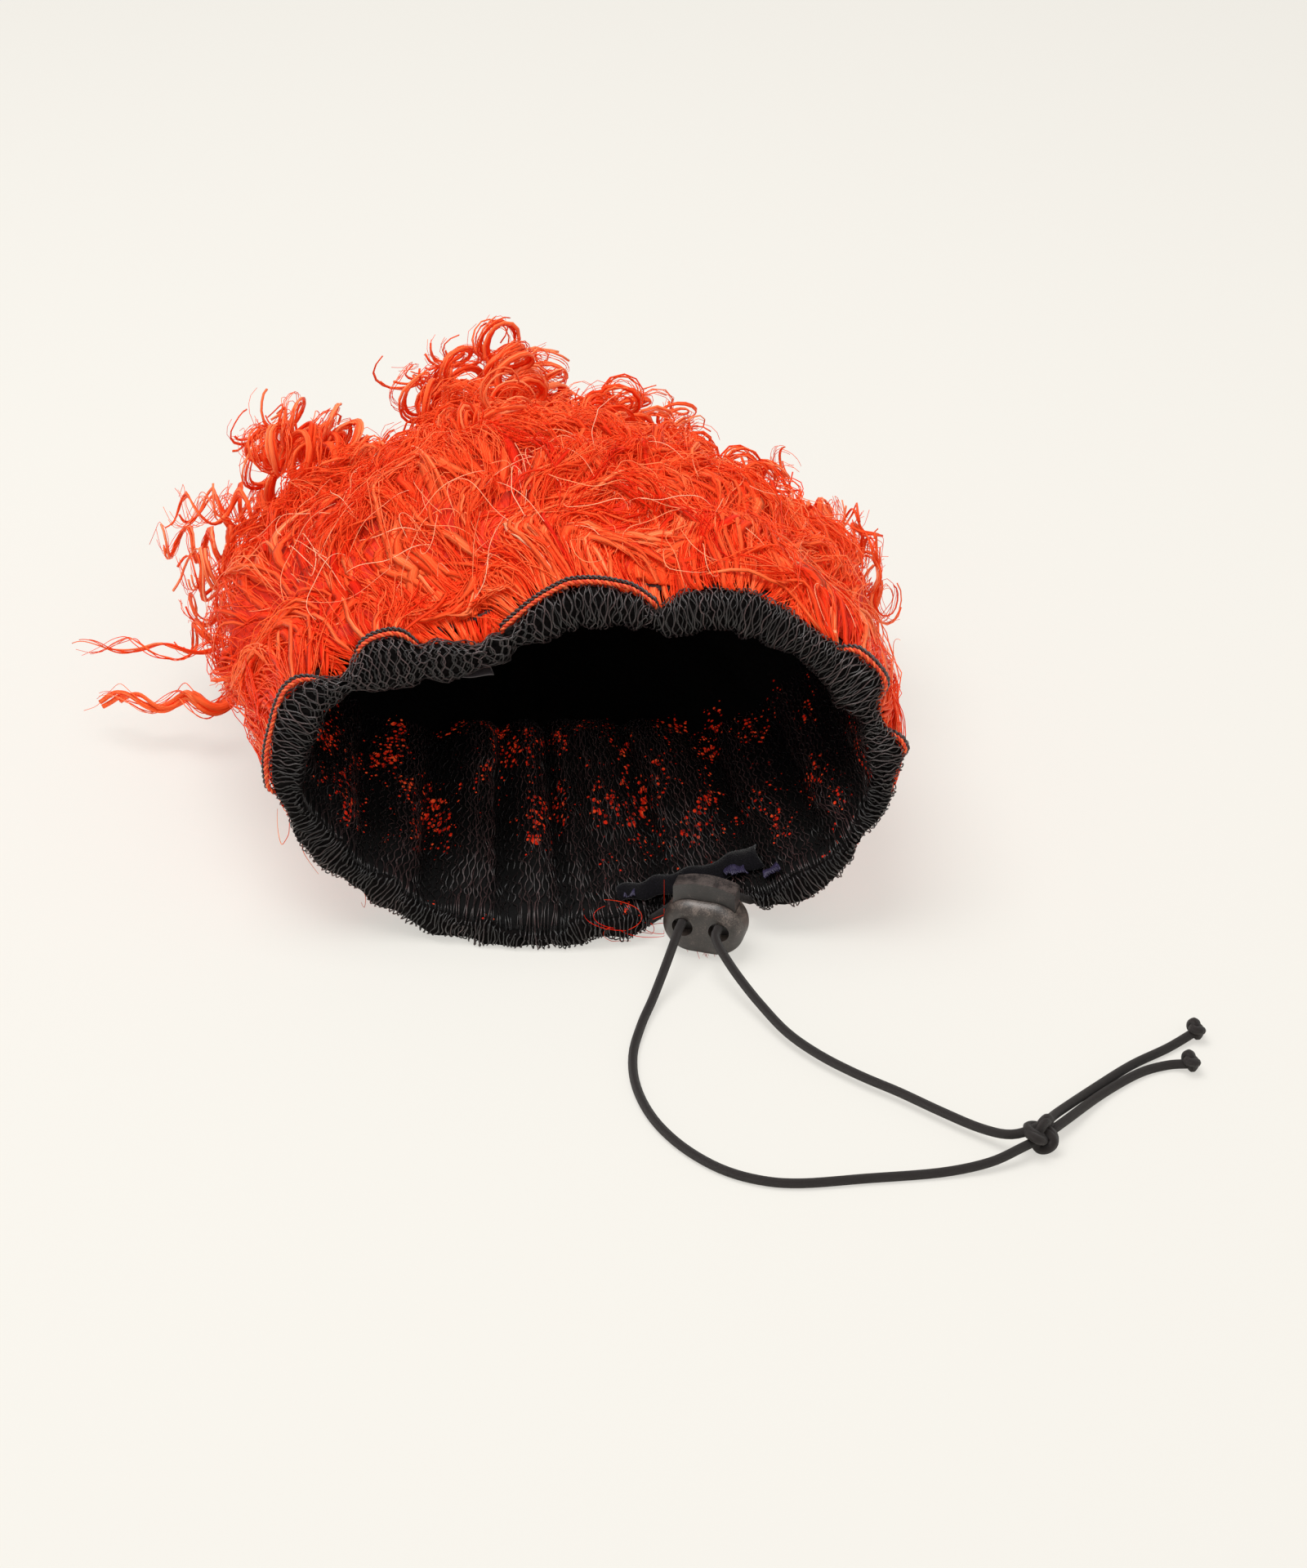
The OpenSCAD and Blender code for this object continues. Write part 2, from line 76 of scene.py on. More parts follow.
# %% [markdown]
# ## Helpers for meshes
# Hair, cords and net are all long thin tubes, and there are thousands of them. Curves
# with a bevel could make them one by one, but numpy makes a whole batch at once: every
# tube in a batch has the same number of rings, so one array holds them all.
# A part of a mesh is its points in mm, its faces with their UVs, and a material's index.

# %% Tubes along many routes
def unit(v):
    return v / np.maximum(np.linalg.norm(v, axis=-1, keepdims=True), 1e-9)


def circle(turn):
    return np.stack([np.cos(turn), np.sin(turn)], -1)


def frames_along(routes, outward=None):
    """Two unit vectors across each route: side then outward, or turned as little as possible."""
    run = unit(np.gradient(routes, axis=1))
    if outward is not None:
        side = unit(np.cross(outward, run))
        return side, np.cross(run, side)
    start = np.where(np.abs(run[:, :1, 2:]) > 0.9, [1.0, 0, 0], [0, 0, 1.0])
    across = np.empty_like(routes)
    n = start[:, 0]
    for i in range(routes.shape[1]):
        n = unit(n - (n * run[:, i]).sum(-1, keepdims=True) * run[:, i])
        across[:, i] = n
    return across, np.cross(run, across)


def tube_part(routes, radii, shade, sides=3, flat=1.0, spread=0.004, slot=0, outward=None):
    """Closed tubes along the routes. shade is each tube's V, and U runs along it."""
    count, rings = routes.shape[:2]
    side, up = frames_along(routes, outward)
    turn = np.arange(sides) * 2 * np.pi / sides
    radii = np.broadcast_to(radii, (count, rings))[:, :, None, None]
    ring = side[:, :, None] * np.cos(turn)[:, None] + flat * up[:, :, None] * np.sin(turn)[:, None]
    points = (routes[:, :, None] + radii * ring).reshape(-1, 3)
    index = np.arange(count * rings * sides).reshape(count, rings, sides)
    after = np.roll(index, -1, axis=2)
    quads = np.stack([index[:, :-1], after[:, :-1], after[:, 1:], index[:, 1:]], -1).reshape(-1, 4)
    along = np.linspace(0.002, 0.998, rings)
    start = shade[:, None, None] + spread * np.arange(sides) / sides
    u, v = (x * np.ones((count, rings - 1, sides)) for x in (along[:-1][None, :, None], start))
    u_end, v_end = along[1:][None, :, None] * np.ones_like(u), v + spread / sides
    corners = ((u, v), (u, v_end), (u_end, v_end), (u_end, v))
    quad_uv = np.stack([np.stack(corner, -1) for corner in corners], -2)
    caps = np.concatenate([index[:, 0, ::-1], index[:, -1]])
    middle = np.stack([np.repeat([0.002, 0.998], count), np.tile(shade + spread / 2, 2)], -1)
    cap_uv = middle[:, None] + circle(turn) * [0.001, 0.5 * spread]
    return points, [(quads, quad_uv.reshape(-1, 2)), (caps, cap_uv.reshape(-1, 2))], slot


# %% Grids of points as closed surfaces
def grid_faces(rows, columns, wrap_rows=False):
    """Quads over a grid of points whose columns wrap, and their UVs."""
    index = np.arange(rows * columns).reshape(rows, columns)
    down = np.arange(rows if wrap_rows else rows - 1)
    r, c = np.meshgrid(down, np.arange(columns), indexing="ij")
    corners = [(r, c), (r, c + 1), (r + 1, c + 1), (r + 1, c)]
    quads = np.stack([index[i % rows, j % columns] for i, j in corners], -1).reshape(-1, 4)
    uv = np.stack([np.stack([j / columns, i / len(down)], -1) for i, j in corners], -2)
    return quads, uv.reshape(-1, 2)


def capped_part(rings, turn, cap_at, cap_size):
    """A tube through rings of points, with a flat face at each end."""
    rows, columns = rings.shape[:2]
    ends = [np.arange(columns)[::-1][None], (rows - 1) * columns + np.arange(columns)[None]]
    end_uv = np.array(cap_at) + cap_size * circle(turn)
    return rings.reshape(-1, 3), [grid_faces(rows, columns)] + [(end, end_uv) for end in ends], 0


def ribbed_part(route, radius, sides):
    """A tube along a route, with fine lengthwise ribs."""
    side, up = frames_along(route[None])
    turn = np.arange(sides) * 2 * np.pi / sides
    rib = radius * (1 - RIB * (np.arange(sides) % 2))
    ring = side[0][:, None] * np.cos(turn)[:, None] + up[0][:, None] * np.sin(turn)[:, None]
    return capped_part(route[:, None] + rib[:, None] * ring, turn, (0.5, 0.002), 0.001)


def shell_part(rings, slot=0):
    """A closed surface from rings of points: each ring wraps, and so does the whole."""
    quads, uv = grid_faces(len(rings), len(rings[0]), wrap_rows=True)
    return np.concatenate(rings), [(quads[:, ::-1], uv.reshape(-1, 4, 2)[:, ::-1].reshape(-1, 2))], slot


# %% Parts into pieces
def build(name, parts, materials, slot, *nodes):
    """One piece of the cap from parts. It takes the place of its nodes."""
    points, loops, sizes, uvs, slots = [], [], [], [], []
    base = 0
    for part_points, faces_and_uvs, index in parts:
        points.append(part_points)
        for faces, uv in faces_and_uvs:
            loops.append((faces + base).ravel())
            sizes.append(np.full(len(faces), faces.shape[1]))
            slots.append(np.full(len(faces), index))
            uvs.append(uv)
        base += len(part_points)
    points, loops, sizes, uvs, slots = map(np.concatenate, (points, loops, sizes, uvs, slots))
    mesh = bpy.data.meshes.new(name)
    mesh.vertices.add(len(points))
    mesh.vertices.foreach_set("co", (points * MM).astype(np.float32).ravel())
    mesh.loops.add(len(loops))
    mesh.loops.foreach_set("vertex_index", loops.astype(np.int32))
    mesh.polygons.add(len(sizes))
    mesh.polygons.foreach_set("loop_start", (np.cumsum(sizes) - sizes).astype(np.int32))
    mesh.polygons.foreach_set("material_index", slots.astype(np.int32))
    mesh.polygons.foreach_set("use_smooth", np.full(len(sizes), True))
    mesh.uv_layers.new(name="OFBake").uv.foreach_set("vector", uvs.astype(np.float32).ravel())
    mesh.update(calc_edges=True)
    mesh.validate()
    for material in materials:
        mesh.materials.append(material)
    piece = bpy.data.objects.new(name, mesh)
    bpy.context.collection.objects.link(piece)
    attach(piece, "cap")
    if nodes:
        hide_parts(*nodes)
    print(name, int((sizes - 2).sum()), "triangles")
    return piece


# %% [markdown]
# ## Helpers for materials
# Colours are written as sRGB hex, as a colour picker shows them, and one function turns
# them to the linear numbers that Blender works in. One small function adds a node.

# %% Material helpers
def linear(code):
    """The linear colour of an sRGB hex code."""
    parts = [int(code[i:i + 2], 16) / 255 for i in (1, 3, 5)]
    return tuple(c / 12.92 if c <= 0.04045 else ((c + 0.055) / 1.055) ** 2.4 for c in parts) + (1.0,)


def node(tree, kind, links=None, out=0, **settings):
    """Adds a node and gives one of its outputs. links names its inputs: values or outputs."""
    made = tree.nodes.new("ShaderNode" + kind)
    for key, value in settings.items():
        setattr(made, key, value)
    for key, value in (links or {}).items():
        if isinstance(value, bpy.types.NodeSocket):
            tree.links.new(value, made.inputs[key])
        else:
            made.inputs[key].default_value = value
    return made.outputs[out]


def maths(tree, how, *values):
    return node(tree, "Math", dict(enumerate(values)), operation=how)


def remap(tree, value, low, high, to_low, to_high):
    return node(tree, "MapRange", {"Value": value, "From Min": low, "From Max": high,
                                   "To Min": to_low, "To Max": to_high})


def noise(tree, place, scale, detail=2, roughness=0.5, distortion=0.0):
    return node(tree, "TexNoise", {"Vector": place, "Scale": scale, "Detail": detail,
                                   "Roughness": roughness, "Distortion": distortion}, "Fac")


def new_material(name, colour, roughness, **sockets):
    """A Principled material with constant sockets. Returns it, its tree and its shader."""
    material = bpy.data.materials.new(name)
    material.use_nodes = True
    shader = material.node_tree.nodes["Principled BSDF"]
    for key, value in dict(sockets, Base_Color=linear(colour), Roughness=roughness).items():
        shader.inputs[key.replace("_", " ")].default_value = value
    return material, material.node_tree, shader


def ramp(tree, factor, stops):
    """A Color Ramp through (place, hex) stops."""
    colours = node(tree, "ValToRGB", {"Fac": factor})
    elements = colours.node.color_ramp.elements
    elements[0].position, elements[0].color = stops[0][0], linear(stops[0][1])
    elements[1].position, elements[1].color = stops[-1][0], linear(stops[-1][1])
    for place, code in stops[1:-1]:
        elements.new(place).color = linear(code)
    return colours


def bump(tree, shader, height, strength, distance_mm):
    made = node(tree, "Bump", {"Height": height, "Strength": strength, "Distance": distance_mm * MM})
    tree.links.new(made, shader.inputs["Normal"])


def paint(tree, shader, factor, stops, relief=None):
    """Colours by a ramp over a pattern. relief is the strength and the height in mm of its bump."""
    tree.links.new(ramp(tree, factor, stops), shader.inputs["Base Color"])
    if relief:
        bump(tree, shader, factor, *relief)


def patterned(name, colour, roughness, pattern, stops, relief=None, **sockets):
    """A material that is painted over one pattern, which is a function of its tree."""
    material, tree, shader = new_material(name, colour, roughness, **sockets)
    paint(tree, shader, pattern(tree), stops, relief)
    return material


def scaled_uv(tree, across, along):
    """The piece's own UV map, stretched to across and along repeats."""
    uv = node(tree, "UVMap", uv_map="OFBake")
    return node(tree, "Mapping", {"Vector": uv, "Scale": (across, along, 1)})


def own_uv(tree):
    """U, along a strand, and V, its tone, as two outputs."""
    parts = node(tree, "SeparateXYZ", {"Vector": node(tree, "UVMap", uv_map="OFBake")}).node.outputs
    return parts["X"], parts["Y"]


def object_mm(tree):
    """Object coordinates in millimetres."""
    place = node(tree, "TexCoord", out="Object")
    return node(tree, "Mapping", {"Vector": place, "Scale": (1 / MM,) * 3})


# %% [markdown]
# ## The shape of the wig
# The same few functions that shape the solids shape the pieces here: a list of radii
# round the opening, a dome for the cap, and an outline for the hair. They work on whole
# arrays of angles (degrees from +X towards +Z) and shares t of the depth.

# %% Outlines of the opening, the cap and the hair, in mm
RIM_LEAN, RIM_MID_Z, RIM_FRONT_Y = 0.33, 46.0, -72.0
CAP_DEPTH, CAP_HALF_W, CAP_HALF_H, CAP_SHIFT = 134.0, 80.0, 42.0, 18.0
HAIR_DEPTH, HAIR_SHIFT, WAVE_H, HAIR_IN, NET_START = 186.0, 20.0, 3.6, 3.55, 0.055
# The elastic's thickness, and the share of its radius that a rib takes.
CORD_D, RIB = 2.4, 0.05
# The least heights over the table of a thread or a surface, a loose strand and a lock of hair.
FLOOR_GAP, STRAND_GAP, HAIR_GAP = 0.3, 0.35, 0.55
RIM_RADII = [77, 73, 65, 56, 44, 41, 40, 39, 39, 41, 52, 70,
             77, 72, 63, 57, 50, 46, 41, 43, 47, 54, 64, 73]
RIM_BACK = [0] * 13 + [2, 3, 3, 1, 0, 0, 2, 4, 5, 4, 2]
HAIR_RADII = [87, 68, 55, 55, 60, 76, 98, 84, 62, 54, 56, 70]
CROWN_RADII = [80, 58, 43, 42, 50, 57, 90, 82, 62, 54, 56, 68]
# Tufts in the outline of the hair: angle, share of the depth and height.
TUFTS = [(9, 0.52, 10), (38, 0.68, 1), (72, 0.75, 4), (118, 0.80, 16), (153, 0.62, 8), (168, 0.50, 7),
         (180, 0.36, 7)]
# Grooves between the pleats of the cap's lower wall: angle, half-width and depth.
PLEATS = [(205, 5, 0.8), (222, 6, 1), (243, 6, 1), (262, 5, 0.9), (297, 6, 0.9), (323, 5, 0.8),
          (338, 5, 0.8)]
PLEAT_H, RIDGE_H, RIDGE_ANGLE, LOCK_ANGLE = 3.4, 6.0, 268, 305
WEFTS, CROWN_FROM = 8, 0.93
ROW_AT = [NET_START + 0.005 + (0.995 - NET_START) * (k / WEFTS) ** 0.92 for k in range(WEFTS + 1)]


def ease(k):
    k = np.clip(k, 0, 1)
    return k * k * (3 - 2 * k)


def mix(a, b, k):
    return a + (b - a) * k


def through(a, b, c, d, k):
    """Share k of the way from b to c, on a smooth curve through all four."""
    return 0.5 * (2 * b + (c - a) * k + (2 * a - 5 * b + 4 * c - d) * k**2 + (3 * b - a - 3 * c + d) * k**3)


def round_list(values, angle):
    """A smooth closed curve through the values, which are evenly spaced round a turn."""
    values = np.asarray(values, float)
    at = np.asarray(angle, float) / 360 * len(values)
    i = np.floor(at).astype(int)
    return through(*(values[(i + step) % len(values)] for step in (-1, 0, 1, 2)), at - i)


def above(points, low):
    """The same points, with none of them lower than low."""
    points[..., 2] = np.maximum(points[..., 2], low)
    return points


def rim_point(angle):
    turn, r = np.radians(angle), round_list(RIM_RADII, angle)
    z = RIM_MID_Z + r * np.sin(turn)
    y = RIM_FRONT_Y + RIM_LEAN * (z - RIM_MID_Z + CAP_HALF_H) + round_list(RIM_BACK, angle)
    return np.stack([r * np.cos(turn), y, z], -1)


def apart(a, b):
    """Degrees between two directions, from -180 to 180."""
    return (a - b + 180) % 360 - 180


def grooves(angle, table):
    """The summed depth of the table's grooves: angle, half-width and depth of each."""
    return sum(deep * np.exp(-(apart(angle, at) / wide) ** 2) for at, wide, deep in table)


def lower(angle):
    """1 on the lower wall, where the wig lies on the table, and 0 on the upper."""
    return ease((0.25 - np.sin(np.radians(angle + 5))) / 0.5)


def fold(angle, t):
    """How far the pleats and the ridge of the lower wall push the whole cap inwards."""
    pleat = (PLEAT_H * ease((t - 0.04) / 0.10) * (1 - 0.7 * ease((t - 0.3) / 0.35))
             * (1 - np.minimum(grooves(angle, PLEATS), 1)))
    ridge = (RIDGE_H * np.exp(-((t - 0.46) / 0.11) ** 2)
             * ease((66 - np.abs(apart(angle, RIDGE_ANGLE))) / 34))
    flat = (1 - ease((np.abs(apart(angle, LOCK_ANGLE)) - 29) / 9)) * (1 - ease((t - 0.18) / 0.1))
    return lower(angle) * (pleat + ridge) * (1 - flat) * (1 - t**6)


def depth_y(angle, t, z, open_, depth):
    """Y at share t of a depth behind the leaning plane of the opening."""
    return (RIM_FRONT_Y + RIM_LEAN * CAP_HALF_H + RIM_LEAN * (z - RIM_MID_Z) * (1 - t)
            + round_list(RIM_BACK, angle) * open_ + depth * t)


def cap_point(angle, t, off):
    turn, open_, inwards = np.radians(angle), 1 - ease(t / 0.35), fold(angle, t)
    oval = 1 / np.sqrt((np.cos(turn) / CAP_HALF_W) ** 2 + (np.sin(turn) / CAP_HALF_H) ** 2)
    taper = (1 - np.clip(t, 0, 1) ** 2.6) ** (1 / 2.2)
    r = (mix(oval, round_list(RIM_RADII, angle), open_) + off - inwards) * taper
    z = RIM_MID_Z - t + r * np.sin(turn)
    floor = 5 + 7 * ease(t / 0.4) - off + inwards
    return np.stack([r * np.cos(turn) - CAP_SHIFT * t, depth_y(angle, t, z, open_, CAP_DEPTH + off),
                     np.maximum(z, floor)], -1)


def relief(angle, t):
    """Lumps of hair about 16 mm apart, and the tufts of the outline."""
    turn = np.radians(angle)
    lumps = (np.sin(7 * turn + np.radians(500 * t)) * np.sin(np.radians(1800 * t) + 2 * turn)
             + 0.5 * np.sin(4 * turn - np.radians(260 * t)))
    tufts = sum(high * np.exp(-(apart(angle, at) / 9) ** 2 - ((t - share) / 0.09) ** 2)
                for at, share, high in TUFTS)
    return (WAVE_H * ease(t / 0.3) * lumps + tufts) * (1 - t**8)


def hair_point(angle, t):
    turn, open_ = np.radians(angle), 1 - ease(t / 0.42)
    taper = (1 - np.clip(t, 0, 1) ** 2.9) ** (1 / 2.4)
    full = mix(round_list(HAIR_RADII, angle), round_list(CROWN_RADII, angle), ease((t - 0.35) / 0.4))
    r = (mix(full, round_list(RIM_RADII, angle) + 7, open_) + relief(angle, t)) * taper
    z = RIM_MID_Z - 8 * ease((t - 0.5) / 0.5) + r * np.sin(turn)
    return np.stack([r * np.cos(turn) - HAIR_SHIFT * t, depth_y(angle, t, z, open_, HAIR_DEPTH),
                     np.maximum(z, 0)], -1)


def fur_point(angle, t, k):
    """Share k of the way from the cap to the outside of the hair."""
    k = np.asarray(k, float)[..., None]
    return above(mix(cap_point(angle, t, HAIR_IN), hair_point(angle, t), k), FLOOR_GAP)


def outwards(angle, t):
    """The way out of the hair."""
    t = np.minimum(t, CROWN_FROM)
    return unit(hair_point(angle, t) - cap_point(angle, t - 0.06, 0))


def sway(p, size, seed):
    """Smooth noise from about -1 to 1 at points in mm, with bumps about size mm wide."""
    rng = np.random.default_rng(seed)
    total = np.zeros(p.shape[:-1])
    for _ in range(6):
        way = unit(rng.normal(size=3))
        total += np.sin(p @ way * (np.pi / size) * rng.uniform(0.7, 1.4) + rng.uniform(0, 2 * np.pi))
    return total / 2.6


def wander(p, size, seed):
    """Smooth noise in all three directions."""
    return np.stack([sway(p, size, seed + i) for i in (1, 2, 3)], -1)


def strayed(rng, lines, size, seed):
    """The same, but different for each line."""
    return np.stack([sway(lines + rng.uniform(-50, 50, (len(lines), 1, 3)), size, seed + i)
                     for i in (1, 2, 3)], -1)


def run_length(line):
    """The length along a line up to each of its points."""
    return np.concatenate([[0], np.cumsum(np.linalg.norm(np.diff(line, axis=0), axis=1))])


print("opening", np.ptp(rim_point(np.arange(360.0)), axis=0).round(1), "mm")

# %% [markdown]
# ## The free ends of the elastic
# A round elastic has a rubber core in a braided black sleeve. Its real length is what
# lies on the table, 20 to 25 cm from the lock to each cut end. The tube is made round
# the route of the solid, and fine lengthwise ribs stand for the yarns of the braid.

# %% Where the cords go, in mm
LOCK_DEPTH, HOLE_GAP, CORD_LIFT = 11.6, 9.8, 2.5
LOCK_BACK = -LOCK_DEPTH / 2 - 1.5
LOCK_AT, LOCK_TURN = np.array([30.8, -75.6, 8.6]), math.radians(-16)
LOCK_AHEAD = np.array([math.sin(LOCK_TURN), -math.cos(LOCK_TURN), 0])
LOCK_SIDE = np.array([math.cos(LOCK_TURN), math.sin(LOCK_TURN), 0])
LEFT_ROUTE = [
    (22.7, -85.8, 10.1), (20.8, -91, 7.4), (18.7, -96.6, 4.6), (16.6, -102.6, 2.5),
    (13.8, -112, 1.5), (11.8, -124, 1.2), (12.8, -137, 1.2), (17, -149.5, 1.2), (24, -160.3, 1.2),
    (33, -168.6, 1.2), (42.5, -173, 1.2), (52.5, -174.2, 1.2), (68, -172.4, 1.2),
    (86, -170.2, 1.2), (98, -167.6, 2.2), (106, -163.8, 3.6), (111.8, -159, 3.4),
    (117.9, -152.4, 3), (128.2, -140.1, 1.5), (138.5, -131.2, 1.2), (146, -127.9, 1.2), (151, -128.4, 2)]
RIGHT_ROUTE = [
    (33.6, -88.2, 10.2), (36.2, -93.2, 8.2), (39.5, -98.8, 6.3), (44.2, -106.5, 4.5),
    (50.8, -117, 3.3), (58.8, -126, 2.9), (68.2, -134, 2.8), (78, -141, 2.8), (87.5, -148.6, 2.9),
    (96.8, -155.6, 3.2), (104, -159.8, 4.6), (111, -158.4, 6.2), (116, -150.6, 4),
    (126.3, -138.4, 1.9), (137, -128, 1.3), (147, -120.8, 1.2), (154, -115.6, 2)]


def smooth_route(points, steps):
    """A curve through the points, with steps between each two."""
    p = np.asarray(points, float)
    ends = np.concatenate([p[:1], p, p[-1:]])
    k = np.arange(steps)[:, None] / steps
    out = [through(*four, k) for four in zip(ends[:-3], ends[1:-2], ends[2:-1], ends[3:])]
    return np.concatenate(out + [p[-1:]])


def in_lock(side, ahead):
    return LOCK_AT + LOCK_SIDE * side * HOLE_GAP / 2 + LOCK_AHEAD * ahead + [0, 0, CORD_LIFT]


def strand_route(side, route):
    straight = [in_lock(side, ahead) for ahead in (LOCK_BACK, 0, 4.3, 8.6)]
    return np.concatenate([straight[:3], smooth_route(straight[2:] + route, 5)[5:]])


# %% The braided elastic, as a material
# Braided polyester over rubber: matt black with a grey sheen, and yarns 0.5 mm wide.
elastic = patterned(
    "braided_polyester_elastic", "#120e0d", 0.62,
    lambda tree: node(tree, "TexWave", {"Vector": scaled_uv(tree, 160, 14), "Scale": 0.318,
                                        "Distortion": 0.4, "Detail": 1.0},
                      "Fac", wave_type="BANDS", bands_direction="DIAGONAL"),
    [(0.1, "#070505"), (0.6, "#161110"), (1, "#3a302e")], (0.6, 0.12),
    Specular_IOR_Level=0.35, Sheen_Weight=0.08, Sheen_Roughness=0.5)

# %% [markdown]
# ## Knots
# A knot is a short length of the same elastic, so each is a tube along an overhand
# knot's line, pulled tight. The shared knot has both strands in it, side by side.

# %% Knots in the elastic
def knot_line(centre, size, tilt, squash, phase=0.0):
    """The closed line of an overhand knot, about 3 sizes in radius."""
    s = np.linspace(0, 2 * np.pi, 73)[:-1] + phase
    line = np.stack([np.sin(s) + 2 * np.sin(2 * s), np.cos(s) - 2 * np.cos(2 * s),
                     -squash * np.sin(3 * s)], -1)
    turn = np.array(Vector(tilt).to_track_quat("Z", "Y").to_matrix())
    return np.asarray(centre) + size * line @ turn.T


def ring_part(line, radius, sides=16):
    """A closed ribbed tube along a closed line."""
    side, up = (way[0] for way in frames_along(np.concatenate([line, line[:2]])[None]))
    n = len(line)
    slip = math.atan2(float(side[n] @ up[0]), float(side[n] @ side[0]))
    turn = np.arange(sides) * 2 * np.pi / sides - slip * np.arange(n)[:, None] / n
    r = radius * (1 - RIB * (np.arange(sides) % 2))
    ring = side[:n, None] * np.cos(turn)[..., None] + up[:n, None] * np.sin(turn)[..., None]
    return (line[:, None] + r[:, None] * ring).reshape(-1, 3), [grid_faces(n, sides, wrap_rows=True)], 0


KNOT_AT = np.array([111.8, -158.4, 5.0])
knot = build("shared_knot", [
    ring_part(knot_line(KNOT_AT + [-0.4, -0.6, -0.3], 1.25, (0.4, -0.6, 0.7), 1.3), 1.2),
    ring_part(knot_line(KNOT_AT + [-0.6, -1.8, -0.4], 1.2, (0.5, -0.5, 0.6), 1.4, 0.35), 1.2)],
    [elastic], "elastic", "cord_knot")
tips = {}
for side, end in (("left", LEFT_ROUTE[-1]), ("right", RIGHT_ROUTE[-1])):
    line = knot_line(np.array(end) + [0.8, 0.0 if side == "left" else 0.5, 0.9], 0.66, (0.8, 0.3, 0.5), 1.2)
    tips[side] = build("tip_knot_" + side, [ring_part(line, 1.12)], [elastic], "elastic", "end_knot_" + side)

# %% The two cords
for side, route, knots in (("left", strand_route(-1, LEFT_ROUTE), [tips["left"], knot]),
                           ("right", strand_route(1, RIGHT_ROUTE), [tips["right"]])):
    piece = build("elastic_strand_" + side, [ribbed_part(route, CORD_D / 2, 30)], [elastic], "elastic",
                  "cord_strand_" + side)
    length = float(run_length(route)[-1]) * MM
    print(side, "strand", round(length, 4), "m")

# %% [markdown]
# ## Floor and light
# A plain sheet of warm white paper. To the camera it is mostly its own colour, so it
# stays pale in the corners, and the rest of its shader keeps the wig's soft shadow.

# %% Floor
WARM_WHITE, PAPER_M, PAPER_GLOW, WORLD_LIGHT = "#f7f4ed", 12, 0.88, 0.55
bpy.ops.object.select_all(action="DESELECT")
bpy.ops.mesh.primitive_plane_add(size=PAPER_M, location=(0, 0, 0))
floor = bpy.context.object
floor.name = "paper_floor"
paper, tree, shader = new_material("matt_paper", WARM_WHITE, 0.9)
glow = node(tree, "Emission", {"Color": linear(WARM_WHITE), "Strength": PAPER_GLOW})
share = maths(tree, "MULTIPLY", node(tree, "LightPath", out="Is Camera Ray"), 0.7)
both = node(tree, "MixShader", {0: share, 1: shader.outputs["BSDF"], 2: glow})
tree.links.new(both, tree.nodes["Material Output"].inputs["Surface"])
floor.data.materials.append(paper)

# %% World and lamps
world = bpy.data.worlds.new("studio")
bpy.context.scene.world = world
world.use_nodes = True
tree = world.node_tree
back = tree.nodes["Background"]
back.inputs["Color"].default_value = linear(WARM_WHITE)
back.inputs["Strength"].default_value = WORLD_LIGHT
seen = node(tree, "Background", {"Color": linear(WARM_WHITE), "Strength": 1.0})
both = node(tree, "MixShader", {0: node(tree, "LightPath", out="Is Camera Ray"),
                                1: back.outputs["Background"], 2: seen})
tree.links.new(both, tree.nodes["World Output"].inputs["Surface"])
# Each square lamp: its name, its place and side in metres, and its watts.
for name, place, size, watts in (("softbox_above", (-0.25, 0.05, 1.25), 0.9, 15),
                                 ("softbox_front", (0.6, -1.0, 1.3), 0.8, 4)):
    bpy.ops.object.light_add(type="AREA", location=place)
    lamp = bpy.context.object
    lamp.name = name
    lamp.rotation_euler = (Vector((0, 0, 0.03)) - Vector(place)).to_track_quat("-Z", "Y").to_euler()
    lamp.data.size, lamp.data.energy = size, watts
bpy.context.scene.view_settings.view_transform = "Standard"

# %% [markdown]
# ## The cord lock
# A two-hole cord lock is injection-moulded in acetal or nylon: a rounded body, a spring
# and a plunger. The solids already have the true shape, so they stay and get finishes:
# a dark warm grey with a fine spark-eroded grain, paler in random scuffs, and with
# painted light on the faces that look up.

# %% Lock finishes
def moulded(name, low, high, scuffs_and_lit_top):
    """Spark-eroded nylon: matt, with a grain of 0.25 mm, random pale scuffs, and painted light on faces that
    look up.
    """
    material, tree, shader = new_material(name, low, 0.45, Specular_IOR_Level=0.75)
    place = object_mm(tree)
    grain, cloud = noise(tree, place, 3.4, 3, 0.6), noise(tree, place, 0.35, 4, 0.65)
    way = node(tree, "SeparateXYZ", {"Vector": node(tree, "NewGeometry", out="Normal")}, "Z")
    # Painted light: faces that look up are made paler, as the lamp above lights them.
    painted_top_light = remap(tree, way, -0.5, 0.8, -0.16, 0.2)
    tone = maths(tree, "ADD", maths(tree, "ADD", grain, cloud), painted_top_light)
    paint(tree, shader, maths(tree, "MULTIPLY", tone, 0.5), [(0.4, low), (0.55, high), (0.66, scuffs_and_lit_top)])
    tree.links.new(remap(tree, grain, 0, 1, 0.32, 0.52), shader.inputs["Roughness"])
    bump(tree, shader, grain, 0.5, 0.09)
    return material


finish_of = {
    "lock_body": moulded("spark_eroded_nylon", "#221c19", "#352d29", "#6a5e57"),
    "lock_plunger": moulded("moulded_acetal", "#191514", "#272120", "#564c48"),
    "lock_spring": patterned("music_wire_steel", "#a8a6a2", 0.3,
                             lambda tree: noise(tree, object_mm(tree), 6),
                             [(0.3, "#8d8a85"), (0.7, "#b9b7b2")], Metallic=1.0)}
for name, finish in finish_of.items():
    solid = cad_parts[name]
    for slot in solid.material_slots:
        slot.material = finish
    if not solid.material_slots:
        solid.data.materials.append(finish)
    print(name, "finished,", len(solid.data.polygons), "faces")
